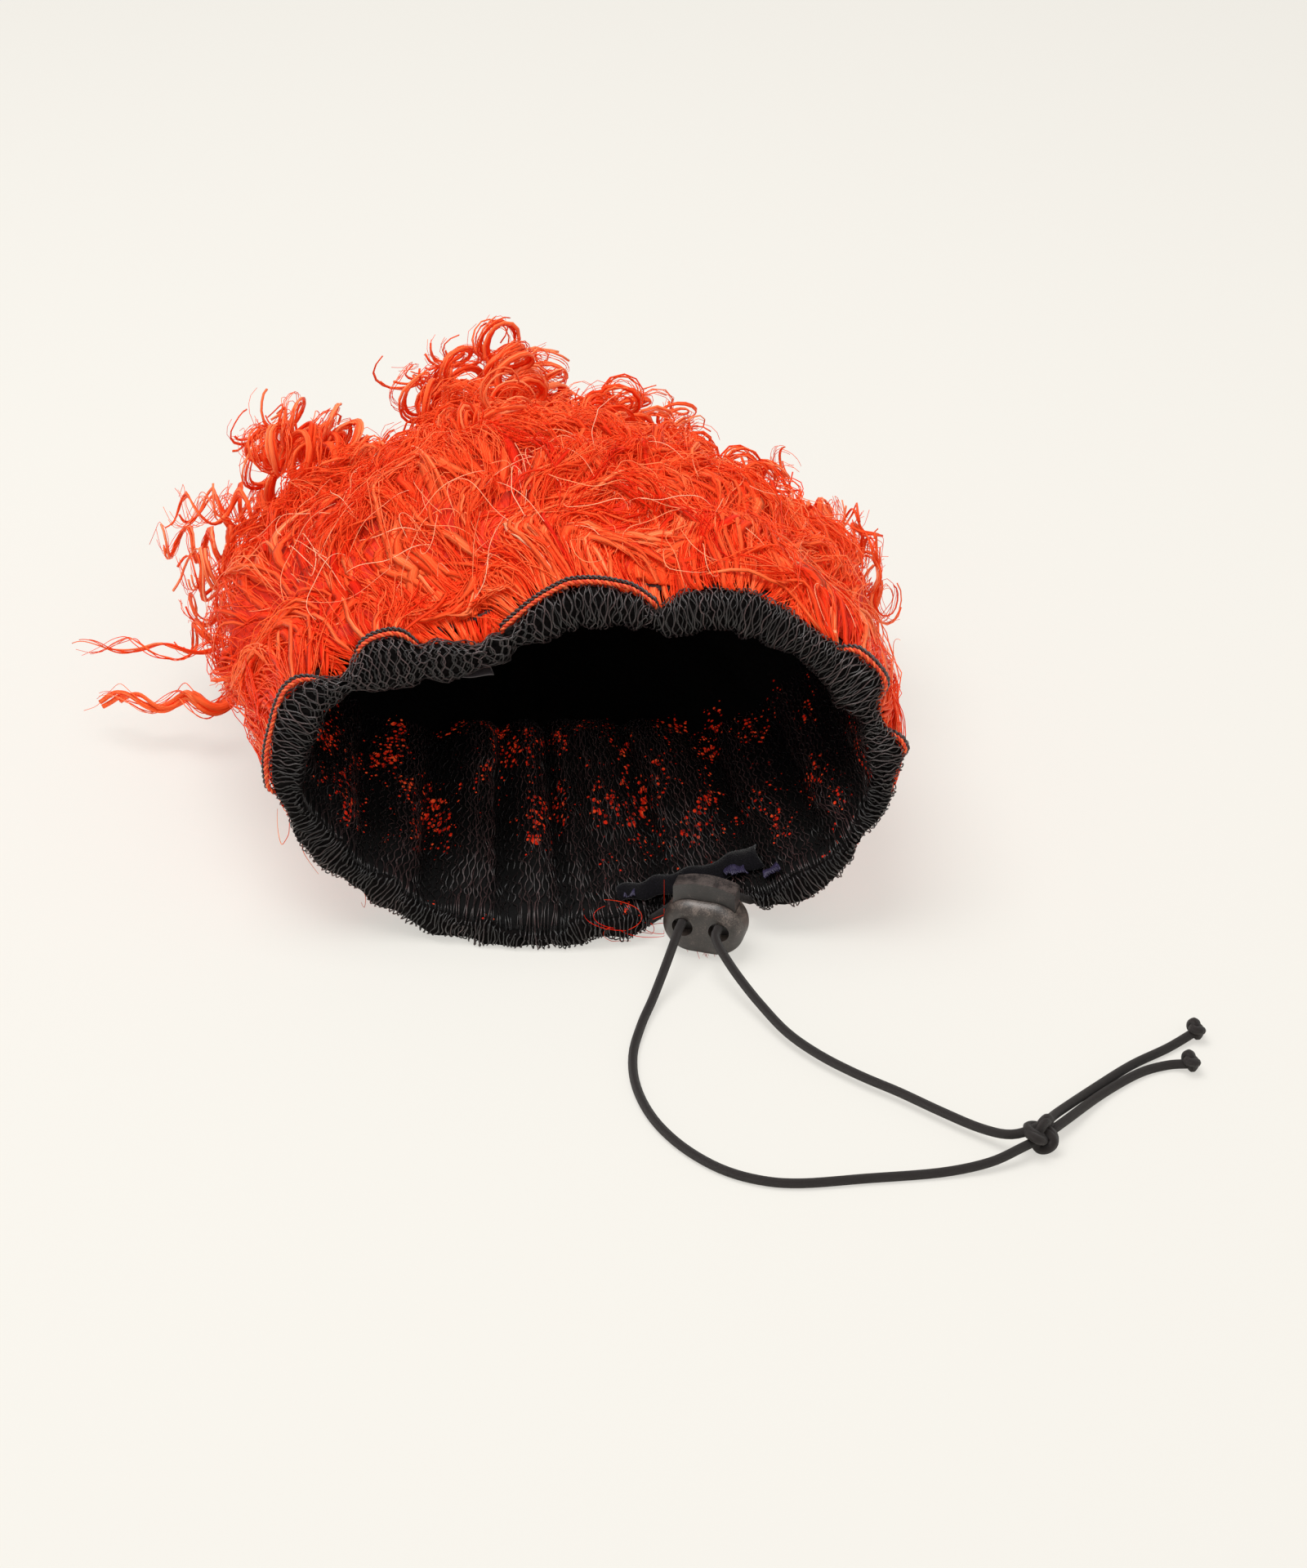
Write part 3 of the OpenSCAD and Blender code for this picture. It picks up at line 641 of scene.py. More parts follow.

# The coil spring gets its own copy of its mesh, and its box is read; in the real lock it gets shorter by the
# plunger's stroke as the plunger goes down.
low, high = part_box("lock_spring")
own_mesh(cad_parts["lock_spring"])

# %% [markdown]
# ## The net
# The cap is knitted polyester net, gathered on the elastic, so it falls into pleats and
# its threads crowd together at the hem. The threads are real tubes here: each runs from
# the outside of the hem, round it and down into the cap, and swings from side to side to
# touch its two neighbours in turn. That is what makes the six-sided holes of a net.

# %% Edges of the hem round the opening
# Angle, how far the hem stands out from its centreline, and how far it hangs in, in mm.
HEM_EDGES = [
    (2.5, 5.4, 6), (8.5, 1.8, 7), (14.5, 6.6, 9.5), (19, 6.0, 10), (25.5, 3.6, 10), (37.5, 3.6, 10),
    (46, 5, 9.5), (54.5, 6.2, 9), (60, 4, 8), (63.5, 1.4, 7), (67.5, 2.2, 7), (75.5, 5, 7.5),
    (84.5, 5.8, 8), (95, 6.4, 8.2), (105.5, 4.6, 8), (113.5, 3, 8), (123.5, 1, 7.5), (130, 1.6, 8),
    (139.5, 3, 9.2), (147.5, 5, 9.2), (152.5, 8.5, 8.4), (156, 8.2, 7.6), (159, 5.2, 6.2), (162, 1.5, 6),
    (165, 6.4, 5.8), (168.5, 8.4, 5), (174.5, 6.4, 4.5), (182, 6.2, 4.2), (190, 6.5, 4), (203, 6.5, 4),
    (219, 5.6, 3.8), (233, 4.6, 3.6), (249, 4.2, 3.4), (262, 4.4, 3.6), (275, 4.5, 3.4), (290, 4.2, 3.2),
    (318, 4.5, 3.4), (332, 5.2, 4), (341.5, 3.4, 4.4), (347.5, 0.9, 4.8), (353, 3.8, 5.2)]
# Where the pleats of the lining fold outwards: angle, half-width in degrees and depth.
GROOVES = [(188, 5, 0.7), (205, 3.5, 0.8), (222, 4, 1.1), (243, 4, 1.1), (262, 3.2, 0.95), (276, 2, 0.35),
           (297, 4.5, 0.9), (323, 3.6, 0.8), (338, 3, 0.8), (352, 4, 0.8), (12, 4, 0.5), (70, 4, 0.4),
           (108, 5, 0.4), (140, 5, 0.4), (163, 3, 0.6)]
HALF_DEGREES = np.arange(720) / 2


def rounded(column):
    """One column of HEM_EDGES at every half degree, smoothed."""
    angles, values = ([row[i] for row in HEM_EDGES] for i in (0, column))
    line = np.interp(HALF_DEGREES, angles, values, period=360)
    for _ in range(6):
        line = 0.25 * np.roll(line, 1) + 0.5 * line + 0.25 * np.roll(line, -1)
    return line


HEM_OUT, HEM_IN = rounded(1), rounded(2) * mix(0.66, 1.0, lower(HALF_DEGREES))


def at_angle(line, angle):
    return np.interp(angle, HALF_DEGREES, line, period=360)


def near_lock(angle):
    """1 behind the cord lock, where the hem is open, and 0 elsewhere."""
    return 1 - ease((np.abs(apart(angle, LOCK_ANGLE)) - 11) / 6)


def hang(angle, t):
    """How far the lining hangs in from the cap, in mm, with its finer pleats."""
    deep = grooves(angle, GROOVES)
    loose = mix(at_angle(HEM_IN, angle) * 0.8, 1.0, ease((t - 0.02) / 0.42)) * (1 - 0.25 * deep)
    pleat = (mix(1.6, 3.0, ease((t - 0.03) / 0.10)) * (1 - 0.5 * ease((t - 0.28) / 0.3))
             * (1 - np.clip(deep, 0, 1.05)))
    flat = near_lock(angle) * (1 - ease((t - 0.12) / 0.06))
    return mix(mix(loose, pleat, lower(angle)), 0.9, flat) + 0.6


def hem_frame(angle):
    """Centre of the hem, its outward direction and its direction into the cap."""
    along = unit(rim_point(angle + 2) - rim_point(angle - 2))
    turn = np.radians(angle)
    out = np.stack([np.cos(turn), RIM_LEAN * np.sin(turn), np.sin(turn)], -1)
    out = unit(out - (out * along).sum(-1, keepdims=True) * along)
    return rim_point(angle), out, np.cross(along, out)


HEM_FROM = 50.0


def hem_to(angle):
    """Where a thread leaves the hem: inside it above, and straight from its front below."""
    return mix(318.0, 222.0, lower(angle) * (1 - near_lock(angle)))


def hem_skin(angle, turn, inset=0.0):
    """A point of the hem's skin: turn 90 is outside, 180 in front and 270 inside."""
    centre, out, into = hem_frame(angle)
    back, at, turn = near_lock(angle), np.radians(angle), np.radians(turn)
    hung = np.minimum(at_angle(HEM_IN, angle), hang(angle, 0.02 * np.ones_like(angle)) + 1.4)
    r_out, r_in, deep = (mix(full, least, back) - inset
                         for full, least in ((at_angle(HEM_OUT, angle), 1.6), (hung, 2.0), (4.5, 1.8)))
    radial = np.where(np.sin(turn) > 0, r_out, r_in) * np.sin(turn)
    gather = (0.4 * np.sin(46 * at + 2 * np.sin(7 * at))
              + 0.75 * np.sin(21 * at + 1.6 * np.sin(5 * at))) * (1 - back)
    return above(centre + out * (radial + gather * np.sign(radial))[..., None]
                 + into * (deep * np.cos(turn) + 5.5 * back)[..., None], STRAND_GAP + inset)


def lining_skin(angle, t, inset):
    return cap_point(angle, t, -(hang(angle, t) - inset))


def even_angles(pitch):
    """Angles round the opening, pitch mm apart along its centreline."""
    fine = np.arange(0, 360.01, 0.25)
    length = run_length(rim_point(fine))
    count = 2 * round(length[-1] / pitch / 2)
    return np.interp(np.arange(count) / count * length[-1], length, fine)


# %% Threads of the net
THREAD_PITCH, HEM_STEPS, NET_STEPS, NET_END = 1.25, 27, 90, 0.62
# Radii of the threads: in the lining and the hem, in front and behind.
LINING_R, LINING_BACK_R, HEM_R, HEM_BACK_R = 0.17, 0.16, 0.21, 0.19
columns = even_angles(THREAD_PITCH)


def swung(column_angles, steps, beat, reach, seed):
    """Angles for each thread at each step, as it swings to touch its neighbours."""
    n = len(column_angles)
    swing = np.repeat([1, -1], beat)[np.arange(steps) % (2 * beat)]
    index = np.arange(n)[:, None] + reach * swing * np.where(np.arange(n) % 2, 1, -1)[:, None]
    index = index + np.random.default_rng(seed).normal(0, 0.06, index.shape)
    turns = np.floor(index / n)
    whole = np.append(column_angles, column_angles[0] + 360)
    return np.interp(index - turns * n, np.arange(n + 1), whole) + 360 * turns


def crinkle(p, amount, size, seed):
    return p + amount * wander(p, size, seed)


def thread_routes(inset=0.0, shift=0.0, seed=80):
    """The line of every thread, from the outside of the hem, round it and into the cap."""
    looser = 0.30 + 0.5 * ease((np.cos(np.radians(apart(columns, 140))) - 0.75) / 0.2)
    hem_angles = swung(columns + shift, HEM_STEPS, 3, mix(looser, 0.1, lower(columns))[:, None], seed)
    turn = HEM_FROM + (hem_to(hem_angles) - HEM_FROM) * np.linspace(0, 1, HEM_STEPS)
    hem = crinkle(hem_skin(hem_angles, turn, inset), 0.4, 2.6, seed + 6)
    net_angles = swung(columns + shift, NET_STEPS, 2, 0.42, seed + 1)
    start = mix(0.058, 0.036, lower(net_angles))
    net = lining_skin(net_angles, start + (NET_END - start) * np.linspace(0, 1, NET_STEPS), inset)
    routes = np.concatenate([hem, crinkle(net, 0.5, 3.2, seed + 2)], 1)
    routes[:, 1:-1] = 0.25 * routes[:, :-2] + 0.5 * routes[:, 1:-1] + 0.25 * routes[:, 2:]
    return above(routes, FLOOR_GAP)


# %% The polyester thread
def polyester(name, roughness, stops, inner_shade):
    """Bulked black thread with a faint shine and fluff. V is its tone, and painted shade darkens it along U.
    """
    material, tree, shader = new_material(name, "#1a1717", roughness, Specular_IOR_Level=0.85,
                                          Sheen_Weight=0.05, Sheen_Roughness=0.4)
    twist = noise(tree, scaled_uv(tree, 160, 900), 1)
    along, tone = own_uv(tree)
    tone = maths(tree, "MULTIPLY_ADD", along, -inner_shade, maths(tree, "MULTIPLY_ADD", tone, 0.5, twist))
    paint(tree, shader, tone, stops)
    bump(tree, shader, twist, 0.5, 0.08)
    return material


net_thread = polyester("knitted_polyester_thread", 0.3,
                       [(0.35, "#050202"), (0.65, "#160c0c"), (0.88, "#362424"), (1.0, "#604444")], 0.0)
# Painted shade darkens the hem's threads along U, towards the inner side of the hem.
hem_thread = polyester("crocheted_polyester_thread", 0.36,
                       [(0.3, "#060303"), (0.6, "#1c1111"), (0.85, "#432d2d"), (1.0, "#6c4c4c")], 0.36)

# %% The base behind the threads
# A second, finer net with the machine-sewn hair behind it: black, and red where a
# thicker bunch of hair shows through its holes. The red has a painted glow, in place of the
# daylight that comes through the hair there, so it is a little brighter than the light inside
# the cap alone would make it. Deep in the cap and high up, painted shade leaves fewer holes
# red, and near the edge fewer holes show red too.
NET_BLACK, GRID_MM = "#060505", 2.3
backing, tree, shader = new_material("fine_net_over_hair", NET_BLACK, 0.8, Specular_IOR_Level=0.2)
place = object_mm(tree)
holes = node(tree, "TexVoronoi", {"Vector": place, "Scale": 0.62, "Randomness": 0.7})
drawn = node(tree, "Mapping", {"Vector": place, "Scale": (1.6, 0.6, 0.8)})
patch = noise(tree, drawn, 0.062, 4, 0.7)
spot = node(tree, "SeparateXYZ", {"Vector": place}).node.outputs
shaded_patch = patch
# Painted shade: the patch is cut down deep in the cap and high up; it is also cut near the edge.
for axis, *limits in (("Z", 30, 62, 0, 0.16), ("Y", 6, 26, 0, 0.3), ("Y", -58, -34, 0.09, -0.03)):
    shaded_patch = maths(tree, "SUBTRACT", shaded_patch, remap(tree, spot[axis], *limits))
hole = maths(tree, "LESS_THAN", holes, remap(tree, shaded_patch, 0.47, 0.68, 0, 0.55))
# On the right wall and above the fold the net is stretched, and its holes are square.
peaks = [maths(tree, "SINE", maths(tree, "MULTIPLY", spot[axis], 2 * math.pi / GRID_MM)) for axis in "YZ"]
side_wall = remap(tree, spot["X"], 48, 56, 2, 0.05)
square = maths(tree, "GREATER_THAN", maths(tree, "MINIMUM", *peaks), side_wall)
for value, least in ((patch, 0.49), (spot["Z"], 38)):
    square = maths(tree, "MULTIPLY", square, maths(tree, "GREATER_THAN", value, least))
hole = maths(tree, "MAXIMUM", hole, square)
red = ramp(tree, noise(tree, place, 0.5, 3), [(0.3, "#8c1006"), (0.5, "#e0260e"), (0.66, "#ff5a2c")])
shown = node(tree, "Mix", {"Factor": hole, "A": linear(NET_BLACK), "B": red}, "Result", data_type="RGBA")
# The holes' red glows a little: a painted glow for light coming through the hair.
for value, socket in ((shown, "Base Color"), (red, "Emission Color"),
                      (maths(tree, "MULTIPLY", hole, 0.3), "Emission Strength")):
    tree.links.new(value, shader.inputs[socket])
bump(tree, shader, holes, 0.6, 0.4)

# %% The hem and the lining
front, behind = thread_routes(), thread_routes(inset=0.6, shift=0.6, seed=84)
rng = np.random.default_rng(90)
# Painted shade: threads in the grooves of the lower wall get a darker tone.
groove_shade = grooves(columns, GROOVES) * lower(columns)
tone = np.clip(rng.uniform(0.45, 0.99, len(columns)) * (1 - 0.9 * groove_shade), 0, 0.99)
cut = HEM_STEPS - 1
coarse = np.r_[np.arange(cut, behind.shape[1] - 1, 2), behind.shape[1] - 1]
build("lining_mesh", [tube_part(front[:, cut:-14], LINING_R, tone, spread=0.003),
                      tube_part(behind[::2, coarse[:-10]], LINING_BACK_R, tone[::2], spread=0.003)],
      [net_thread], "net", "lining_net")

fine = np.arange(0, 360, 1.5)
turns = [HEM_FROM + 6 + (hem_to(fine) - HEM_FROM) * s for s in np.linspace(0, 1, 18)]
sunk = mix(1.1, 0.5, lower(fine))
core = [crinkle(hem_skin(fine, turn, sunk + more), 0.3, 3, 95)
        for more, way in ((0, turns), (0.7, turns[::-1])) for turn in way]
casing = patterned("doubled_net", "#050304", 0.85,
                   lambda tree: node(tree, "TexVoronoi", {"Vector": object_mm(tree), "Scale": 0.9,
                                                          "Randomness": 0.6}),
                   [(0.25, "#020101"), (0.6, "#0a0606")], (0.6, 0.4), Specular_IOR_Level=0.1)
# The hem's back layer of threads gets painted shade: three tenths of the front's tone.
build("hem_casing", [shell_part(core, 1), tube_part(front[:, :HEM_STEPS], HEM_R, tone, spread=0.003),
                     tube_part(behind[:, :HEM_STEPS], HEM_BACK_R, tone * 0.3, spread=0.003)],
      [hem_thread, casing], "hem_net", "rim_hem")

shares = np.concatenate([np.linspace(0.05, 0.62, 36), np.linspace(0.66, 0.9985, 12)])
lip = hem_to(fine) - 14
inner = [hem_skin(fine, lip, 1.2)] + [lining_skin(fine, np.full_like(fine, t), 0.9) for t in shares]
outer = [lining_skin(fine, np.full_like(fine, t), 1.4) for t in shares[::-1]] + [hem_skin(fine, lip, 1.8)]
build("cap_base", [shell_part(outer + inner)], [backing], "net", "cap_base_net")

# %% [markdown]
# ## Weft cords at the edge
# The first weft is finished with two cords: one twisted from orange and red yarn, and a
# black one outside it. They show where the hem is pulled back, and dip under it between.

# %% Edge cords
def twisted(line, radius, pitch):
    """Two lines that wind round a line."""
    side, up = frames_along(line[None])
    turn = 2 * np.pi * run_length(line) / pitch
    return np.stack([line + radius * (np.cos(turn + ply)[:, None] * side[0]
                                      + np.sin(turn + ply)[:, None] * up[0]) for ply in (0, np.pi)])


def even_line(line, step):
    length = run_length(line)
    at = np.arange(0, length[-1], step)
    return np.stack([np.interp(at, length, line[:, i]) for i in range(3)], -1)


# From which angle to which the cords show.
SHOWN = [(66, 123), (150, 158), (166, 184), (2, 5), (13, 22)]
PLY_R = 0.36
edge = np.arange(-12, 198, 0.5)
shown = sum(ease((edge - a + 3) / 4) * ease((b + 3 - edge) / 4) for a, b in SHOWN)
centre, out, into = hem_frame(edge)
lift = (at_angle(HEM_OUT, edge) + mix(-3.6, 0.75, shown))[:, None]
orange_line = even_line(centre + out * lift + into * mix(2.0, -1.3, shown)[:, None], 0.35)
black_line = even_line(centre + out * (lift + 0.75) + into * mix(3.0, 0.5, shown)[:, None], 0.4)
orange_cord, tree, shader = new_material("twisted_weft_cord", "#e8431c", 0.5, Specular_IOR_Level=0.35)
yarn = noise(tree, scaled_uv(tree, 700, 60), 1, 3)
paint(tree, shader, maths(tree, "MULTIPLY_ADD", own_uv(tree)[1], 0.45, yarn),
      [(0.45, "#b5240e"), (0.7, "#e8471d"), (0.95, "#f8743f")])
bump(tree, shader, yarn, 0.5, 0.15)
build("weft_edge_cords", [
    tube_part(twisted(orange_line, 0.33, 2.4), PLY_R, np.array([0.05, 0.65]), sides=6, spread=0.3),
    tube_part(twisted(black_line, 0.42, 2.8), PLY_R, np.array([0.2, 0.6]), sides=6, spread=0.25, slot=1)],
    [orange_cord, hem_thread], "weft_thread")

# %% [markdown]
# ## Elastic, tape, tacks and tab
# Inside the hem runs the closed part of the elastic. Behind the lock a velvet tape
# covers its way out, sewn down with bar tacks: a dozen close zigzag stitches of thick
# violet thread. A satin tape hangs from the lining at the top left.

# %% The elastic inside the hem
ring_angles = np.linspace(319, 651, 130)
ring_line = rim_point(ring_angles) + [0, 0, 0.5] - np.array([0, 0, 1.3]) * lower(ring_angles)[:, None]
ring_route = np.concatenate([
    [in_lock(1, LOCK_BACK), in_lock(1, LOCK_BACK - 2.2) + [1, 0.5, -0.4]], above(ring_line, 1.3),
    [in_lock(-1, LOCK_BACK - 2.2) + [-1, 0.5, -0.6], in_lock(-1, LOCK_BACK)]])
build("elastic_in_hem", [ribbed_part(ring_route, CORD_D / 2, 16)], [elastic], "elastic", "elastic_ring")


# %% The velvet tape
def tape_part(angles, t_from, t_to, lift, thick, bow, across=7):
    """A cushioned strip over the lining, with rounded edges, as one ring of points per angle."""
    rings = []
    s = np.linspace(0, 1, across)
    for i, angle in enumerate(angles):
        up = lift[i] + bow * np.sin(np.pi * s)
        path = [(share, u, u + thick * (0.35 + 0.65 * math.sin(math.pi * x)))
                for x, share, u in zip(s, mix(t_from[i], t_to[i], s), up)]
        rings.append([cap_point(np.array(angle), np.array(share), -over) for share, _, over in path]
                     + [cap_point(np.array(angle), np.array(share), -u) for share, u, _ in path[::-1]])
    return capped_part(np.array(rings), np.arange(2 * across), (0.5, 0.5), 0.01)


velvet = patterned("cotton_velvet", "#100e16", 0.9, lambda tree: noise(tree, object_mm(tree), 2.6, 4, 0.7),
                   [(0.35, "#070609"), (0.55, "#0f0d12"), (0.75, "#211e26")], (0.8, 0.35),
                   Specular_IOR_Level=0.15, Sheen_Weight=0.35, Sheen_Roughness=0.35)
steps = np.linspace(0, 1, 40)
tape_angles = mix(282, 325, steps)
wave = 0.6 * np.sin(steps * 11) + 0.2 * np.sin(steps * 29 + 1)
tape_lift = hang(tape_angles, 0.03 + 0.055 * steps) + 0.7 + 0.5 * np.sin(steps * 23)
build("velvet_tape", [tape_part(tape_angles, 0.018 + 0.05 * steps + 0.003 * wave,
                                0.052 + 0.088 * steps - 0.003 * wave, tape_lift, 1.2, 1.6)],
      [velvet], "velvet_tape", "exit_tape")


# %% Bar tacks
def bar_tack(angle, t, span, deep, stitches=11):
    """A zigzag of thread, span degrees wide and deep in share of the cap."""
    n = stitches * 2 + 1
    zig = np.interp(np.linspace(0, n - 1, n * 5), np.arange(n), np.arange(n) % 2)
    a = angle + span * (np.linspace(0, 1, n * 5) - 0.5)
    ts = t + deep * (zig - 0.5)
    return cap_point(a, ts, -(hang(a, ts) + 1.9 + 0.5 * np.sin(np.pi * zig)))


violet = patterned("embroidery_thread", "#3b3354", 0.45,
                   lambda tree: noise(tree, scaled_uv(tree, 260, 30), 1),
                   [(0.3, "#1a1628"), (0.55, "#352e4c"), (0.75, "#5f5580")], Specular_IOR_Level=0.5)
TACKS = [(286.5, 0.036, 3.8, 0.028), (319, 0.062, 4.4, 0.03), (327, 0.03, 4.0, 0.026)]
tacks = crinkle(np.stack([bar_tack(*tack) for tack in TACKS]), 0.35, 2.2, 129)
build("bar_tack_stitches", [tube_part(tacks, 0.26, np.array([0.1, 0.4, 0.7]), sides=6, spread=0.2)],
      [violet], "tack_thread", "bar_tacks")

# %% The satin tab
satin = patterned("polyester_satin", "#4b4547", 0.35, lambda tree: noise(tree, scaled_uv(tree, 16, 240), 1),
                  [(0.3, "#2e2a2c"), (0.55, "#484245"), (0.8, "#6a6266")], (0.3, 0.1),
                  Specular_IOR_Level=0.5, Sheen_Weight=0.2, Sheen_Roughness=0.3)
steps = np.linspace(0, 1, 26)
droop = 11.6 + 0.6 * np.sin(steps * 5) - 1.2 * ease((steps - 0.7) / 0.3)
build("satin_tab", [tape_part(mix(138.5, 153.5, steps), 0.03 + 0.004 * np.sin(steps * 9),
                              0.066 + 0.004 * np.cos(steps * 7), droop - 0.8, 1.1, -0.7)],
      [satin], "satin_tape", "inner_tab")

# %% [markdown]
# ## The hair fibre
# Costume wigs are sewn from modacrylic filament, crimped and curled with steam. It is
# smooth and shines softly, and it lets light through from strand to strand, so gaps
# between locks look deep red instead of grey: a faint painted red glow of the fibres
# stands in for that.
# Every strand has its own place on the V axis of the UV map, from dark, as painted shade
# on the deep ones, to pale, as painted light on the loose ones, and U runs from root to tip.

# %% Fibre finishes
FIBRE_TONES = [(0.0, "#b80a04"), (0.2, "#da1e0a"), (0.42, "#ee4018"), (0.66, "#f86836"), (0.86, "#ff9664"),
               (1.0, "#ffc4a0")]
PAINTED_RED_GLOW = linear("#ff3208")


def fibre(name, roughness, fine, contrast, relief=None):
    """Modacrylic filament: fine strands drawn across V, each with its own tone."""
    # A faint painted red glow stands in for light passing through the fibres.
    material, tree, shader = new_material(name, "#e33a19", roughness, Specular_IOR_Level=0.25,
                                          Specular_Tint=linear("#ff8a5c"), Emission_Strength=0.075,
                                          Emission_Color=PAINTED_RED_GLOW)
    along, tone = own_uv(tree)
    strands = noise(tree, scaled_uv(tree, 2.2, fine), 1, 5, 0.8)
    tone = maths(tree, "MULTIPLY_ADD", maths(tree, "SUBTRACT", strands, 0.5), contrast, tone)
    paint(tree, shader, maths(tree, "MULTIPLY_ADD", along, 0.1, tone), FIBRE_TONES)
    if relief:
        bump(tree, shader, strands, *relief)
    return material


# The matted hair has the same faint painted red glow.
# Slots 0, 1 and 2 of the hair: single strands, bands of strands and the matted hair below.
HAIR = [fibre("modacrylic_filament", 0.42, 330, 0.4), fibre("modacrylic_strand", 0.5, 110, 1.3, (0.7, 0.35)),
        patterned("matted_modacrylic", "#b3200f", 0.6,
                  lambda tree: noise(tree, scaled_uv(tree, 420, 9), 1, 4, 0.7, 0.5),
                  [(0.3, "#9c1005"), (0.5, "#d0280e"), (0.7, "#ee421b")], (0.7, 0.5),
                  Specular_IOR_Level=0.2, Emission_Strength=0.07, Emission_Color=PAINTED_RED_GLOW)]


# %% [markdown]
# ## Growing locks
# A lock starts at a weft and walks over the wig in small steps: towards the crown, but
# turned aside by a slow swirl that all its neighbours share, so they run together in
# waves with gaps between them. The strands of a lock then wind round its line.

# %% Guides for locks
def grow_locks(angle, t, length, depth, heading, steps, rise=0.3, swirl=1.35):
    """The lines of locks over the hair, and the outward direction at each of their steps."""
    ds = length / (steps - 1)
    line, outward = [], []
    for s in np.arange(steps) / (steps - 1):
        k = mix(0.12, depth, ease(s / rise))
        p = fur_point(angle, t, k)
        line.append(p)
        outward.append(outwards(angle, t))
        round_step = fur_point(angle + 0.5, t, k) - fur_point(angle - 0.5, t, k)
        back_step = fur_point(angle, t + 0.004, k) - fur_point(angle, t - 0.004, k)
        per_degree = np.linalg.norm(round_step, axis=-1)
        per_share = np.linalg.norm(back_step, axis=-1) / 0.008
        turn = heading + swirl * ease((s - 0.06) / 0.3) * (0.9 * sway(p, 32, 11) + 0.6 * sway(p, 13, 12))
        angle = angle + ds * np.sin(turn) / np.maximum(per_degree, 0.35)
        t = np.clip(t + ds * np.cos(turn) / np.maximum(per_share, 60), 0.05, 0.985)
    return np.stack(line, 1), np.stack(outward, 1)


def strands_of(lines, outward, count, width, curl, pitch, length, seed, loose=0.35, fuzz=0.5, start=0.1,
               shortest=0.72, flatness=0.6):
    """count strands for each line, wound round it with the line's own curl."""
    rng = np.random.default_rng(seed)
    locks, rings = lines.shape[:2]
    s = np.linspace(0, 1, rings)
    side, up = frames_along(lines, outward)
    reach = rng.uniform(shortest, 1, (locks, count, 1)) * s
    at = np.clip(reach * (rings - 1), 0, rings - 1.001)
    low = at.astype(int)
    part = (at - low)[..., None]
    row = np.arange(locks)[:, None, None]

    def along(values):
        return values[row, low] * (1 - part) + values[row, low + 1] * part

    width, curl, pitch, length = (np.broadcast_to(np.asarray(v, float), (locks,))[:, None, None]
                                  for v in (width, curl, pitch, length))
    phase = (rng.uniform(0, 2 * np.pi, (locks, 1, 1)) + rng.normal(0, loose, (locks, count, 1))
             + 2 * np.pi * length / pitch * reach * (1 + rng.normal(0, 0.02, (locks, count, 1))))
    wind = curl * ease((reach - start) / 0.3) * rng.uniform(0.75, 1.25, (locks, count, 1))
    far = np.sqrt(rng.uniform(0, 1, (locks, count, 1)))
    turn = rng.uniform(0, 2 * np.pi, (locks, count, 1)) + rng.normal(0, 1.5, (locks, 1, 1)) * reach
    wide = width * far * (1 - 0.5 * ease((reach - 0.5) / 0.5))
    across = wind * np.cos(phase) + wide * np.cos(turn)
    lift = flatness * wind * np.sin(phase) + 0.55 * wide * np.sin(turn) * ease(reach / 0.15)
    points = along(lines) + along(side) * across[..., None] + along(up) * lift[..., None]
    shift = rng.uniform(-60, 60, (locks, count, 1, 3))
    points = points + fuzz * ease(reach / 0.25)[..., None] * wander(points + shift, 5, seed)
    return above(points, HAIR_GAP).reshape(locks * count, rings, 3)


def tapered(lines, radius, tip):
    """A radius for each ring: full at the root and thinner at the tip."""
    s = np.linspace(0, 1, lines.shape[1])
    return np.broadcast_to(radius * (1 - (1 - tip) * ease((s - 0.6) / 0.4)), lines.shape[:2])


def singles_part(lines, radius, tone, tip=0.55):
    return tube_part(lines, tapered(lines, radius, tip), tone)


HAIR_MIDDLE, HAIR_REACH = np.array([-12.0, 14, 40]), np.array([96.0, 108, 46])


def bands_part(lines, radius, tone, tip=0.1, sides=3, flat=0.35, spread=0.06):
    """Flat bands of strands, which lie on the wig like combed hair."""
    return tube_part(lines, tapered(lines, radius, tip), tone, sides, flat, spread, 1,
                     unit((lines - HAIR_MIDDLE) / HAIR_REACH**2))


# %% The weft rows
def under_row(k):
    """The matted lower part of row k: a closed ring with lumps, or a dome for the last."""
    angle = np.arange(160) * 360.0 / 160
    a, b = ROW_AT[k - 1] + 0.004, ROW_AT[k] - 0.002
    lean = lambda t: t + 0.10 * (1 - t)
    profile = [(a, 0.03), (mix(a, lean(a), 0.5), 0.4), (lean(a) - 0.012, 0.62),
               (lean(mix(a, b, 0.33)), 0.68), (lean(mix(a, b, 0.67)), 0.68),
               (lean(b) + 0.012, 0.62), (mix(b, lean(b), 0.5), 0.4), (b, 0.03)]
    if k == WEFTS:
        ends = np.linspace(0.35, 0.999, 7)
        profile = profile[:4] + [(mix(lean(a), 1, e), 0.68) for e in ends]
        profile += [(mix(a, 1, e), 0.03) for e in ends[::-1]]
    rings = []
    for t, depth in profile:
        ts = np.full(len(angle), min(t, 0.999))
        p = fur_point(angle, ts, depth)
        out = unit(fur_point(angle, ts, 1.0) - fur_point(angle, ts, 0.0) + [0, 1e-3, 0])
        lumps = 1.6 * sway(p, 9, 31) + 0.9 * sway(p, 4, 32)
        rings.append(above(p + out * (lumps * (depth > 0.3))[:, None], FLOOR_GAP))
    return shell_part(rings, 2)


# How many there are in each row: bands of the thatch, narrow bands, single strands and locks.
ROW_PLAN = [(230, 120, 980, 32), (210, 110, 930, 44), (180, 100, 760, 52), (160, 90, 640, 52),
            (140, 80, 560, 50), (115, 70, 470, 44), (90, 55, 350, 36), (70, 40, 250, 30)]


# The share of the strands on the side that rests on the table.
HIDDEN = 0.13


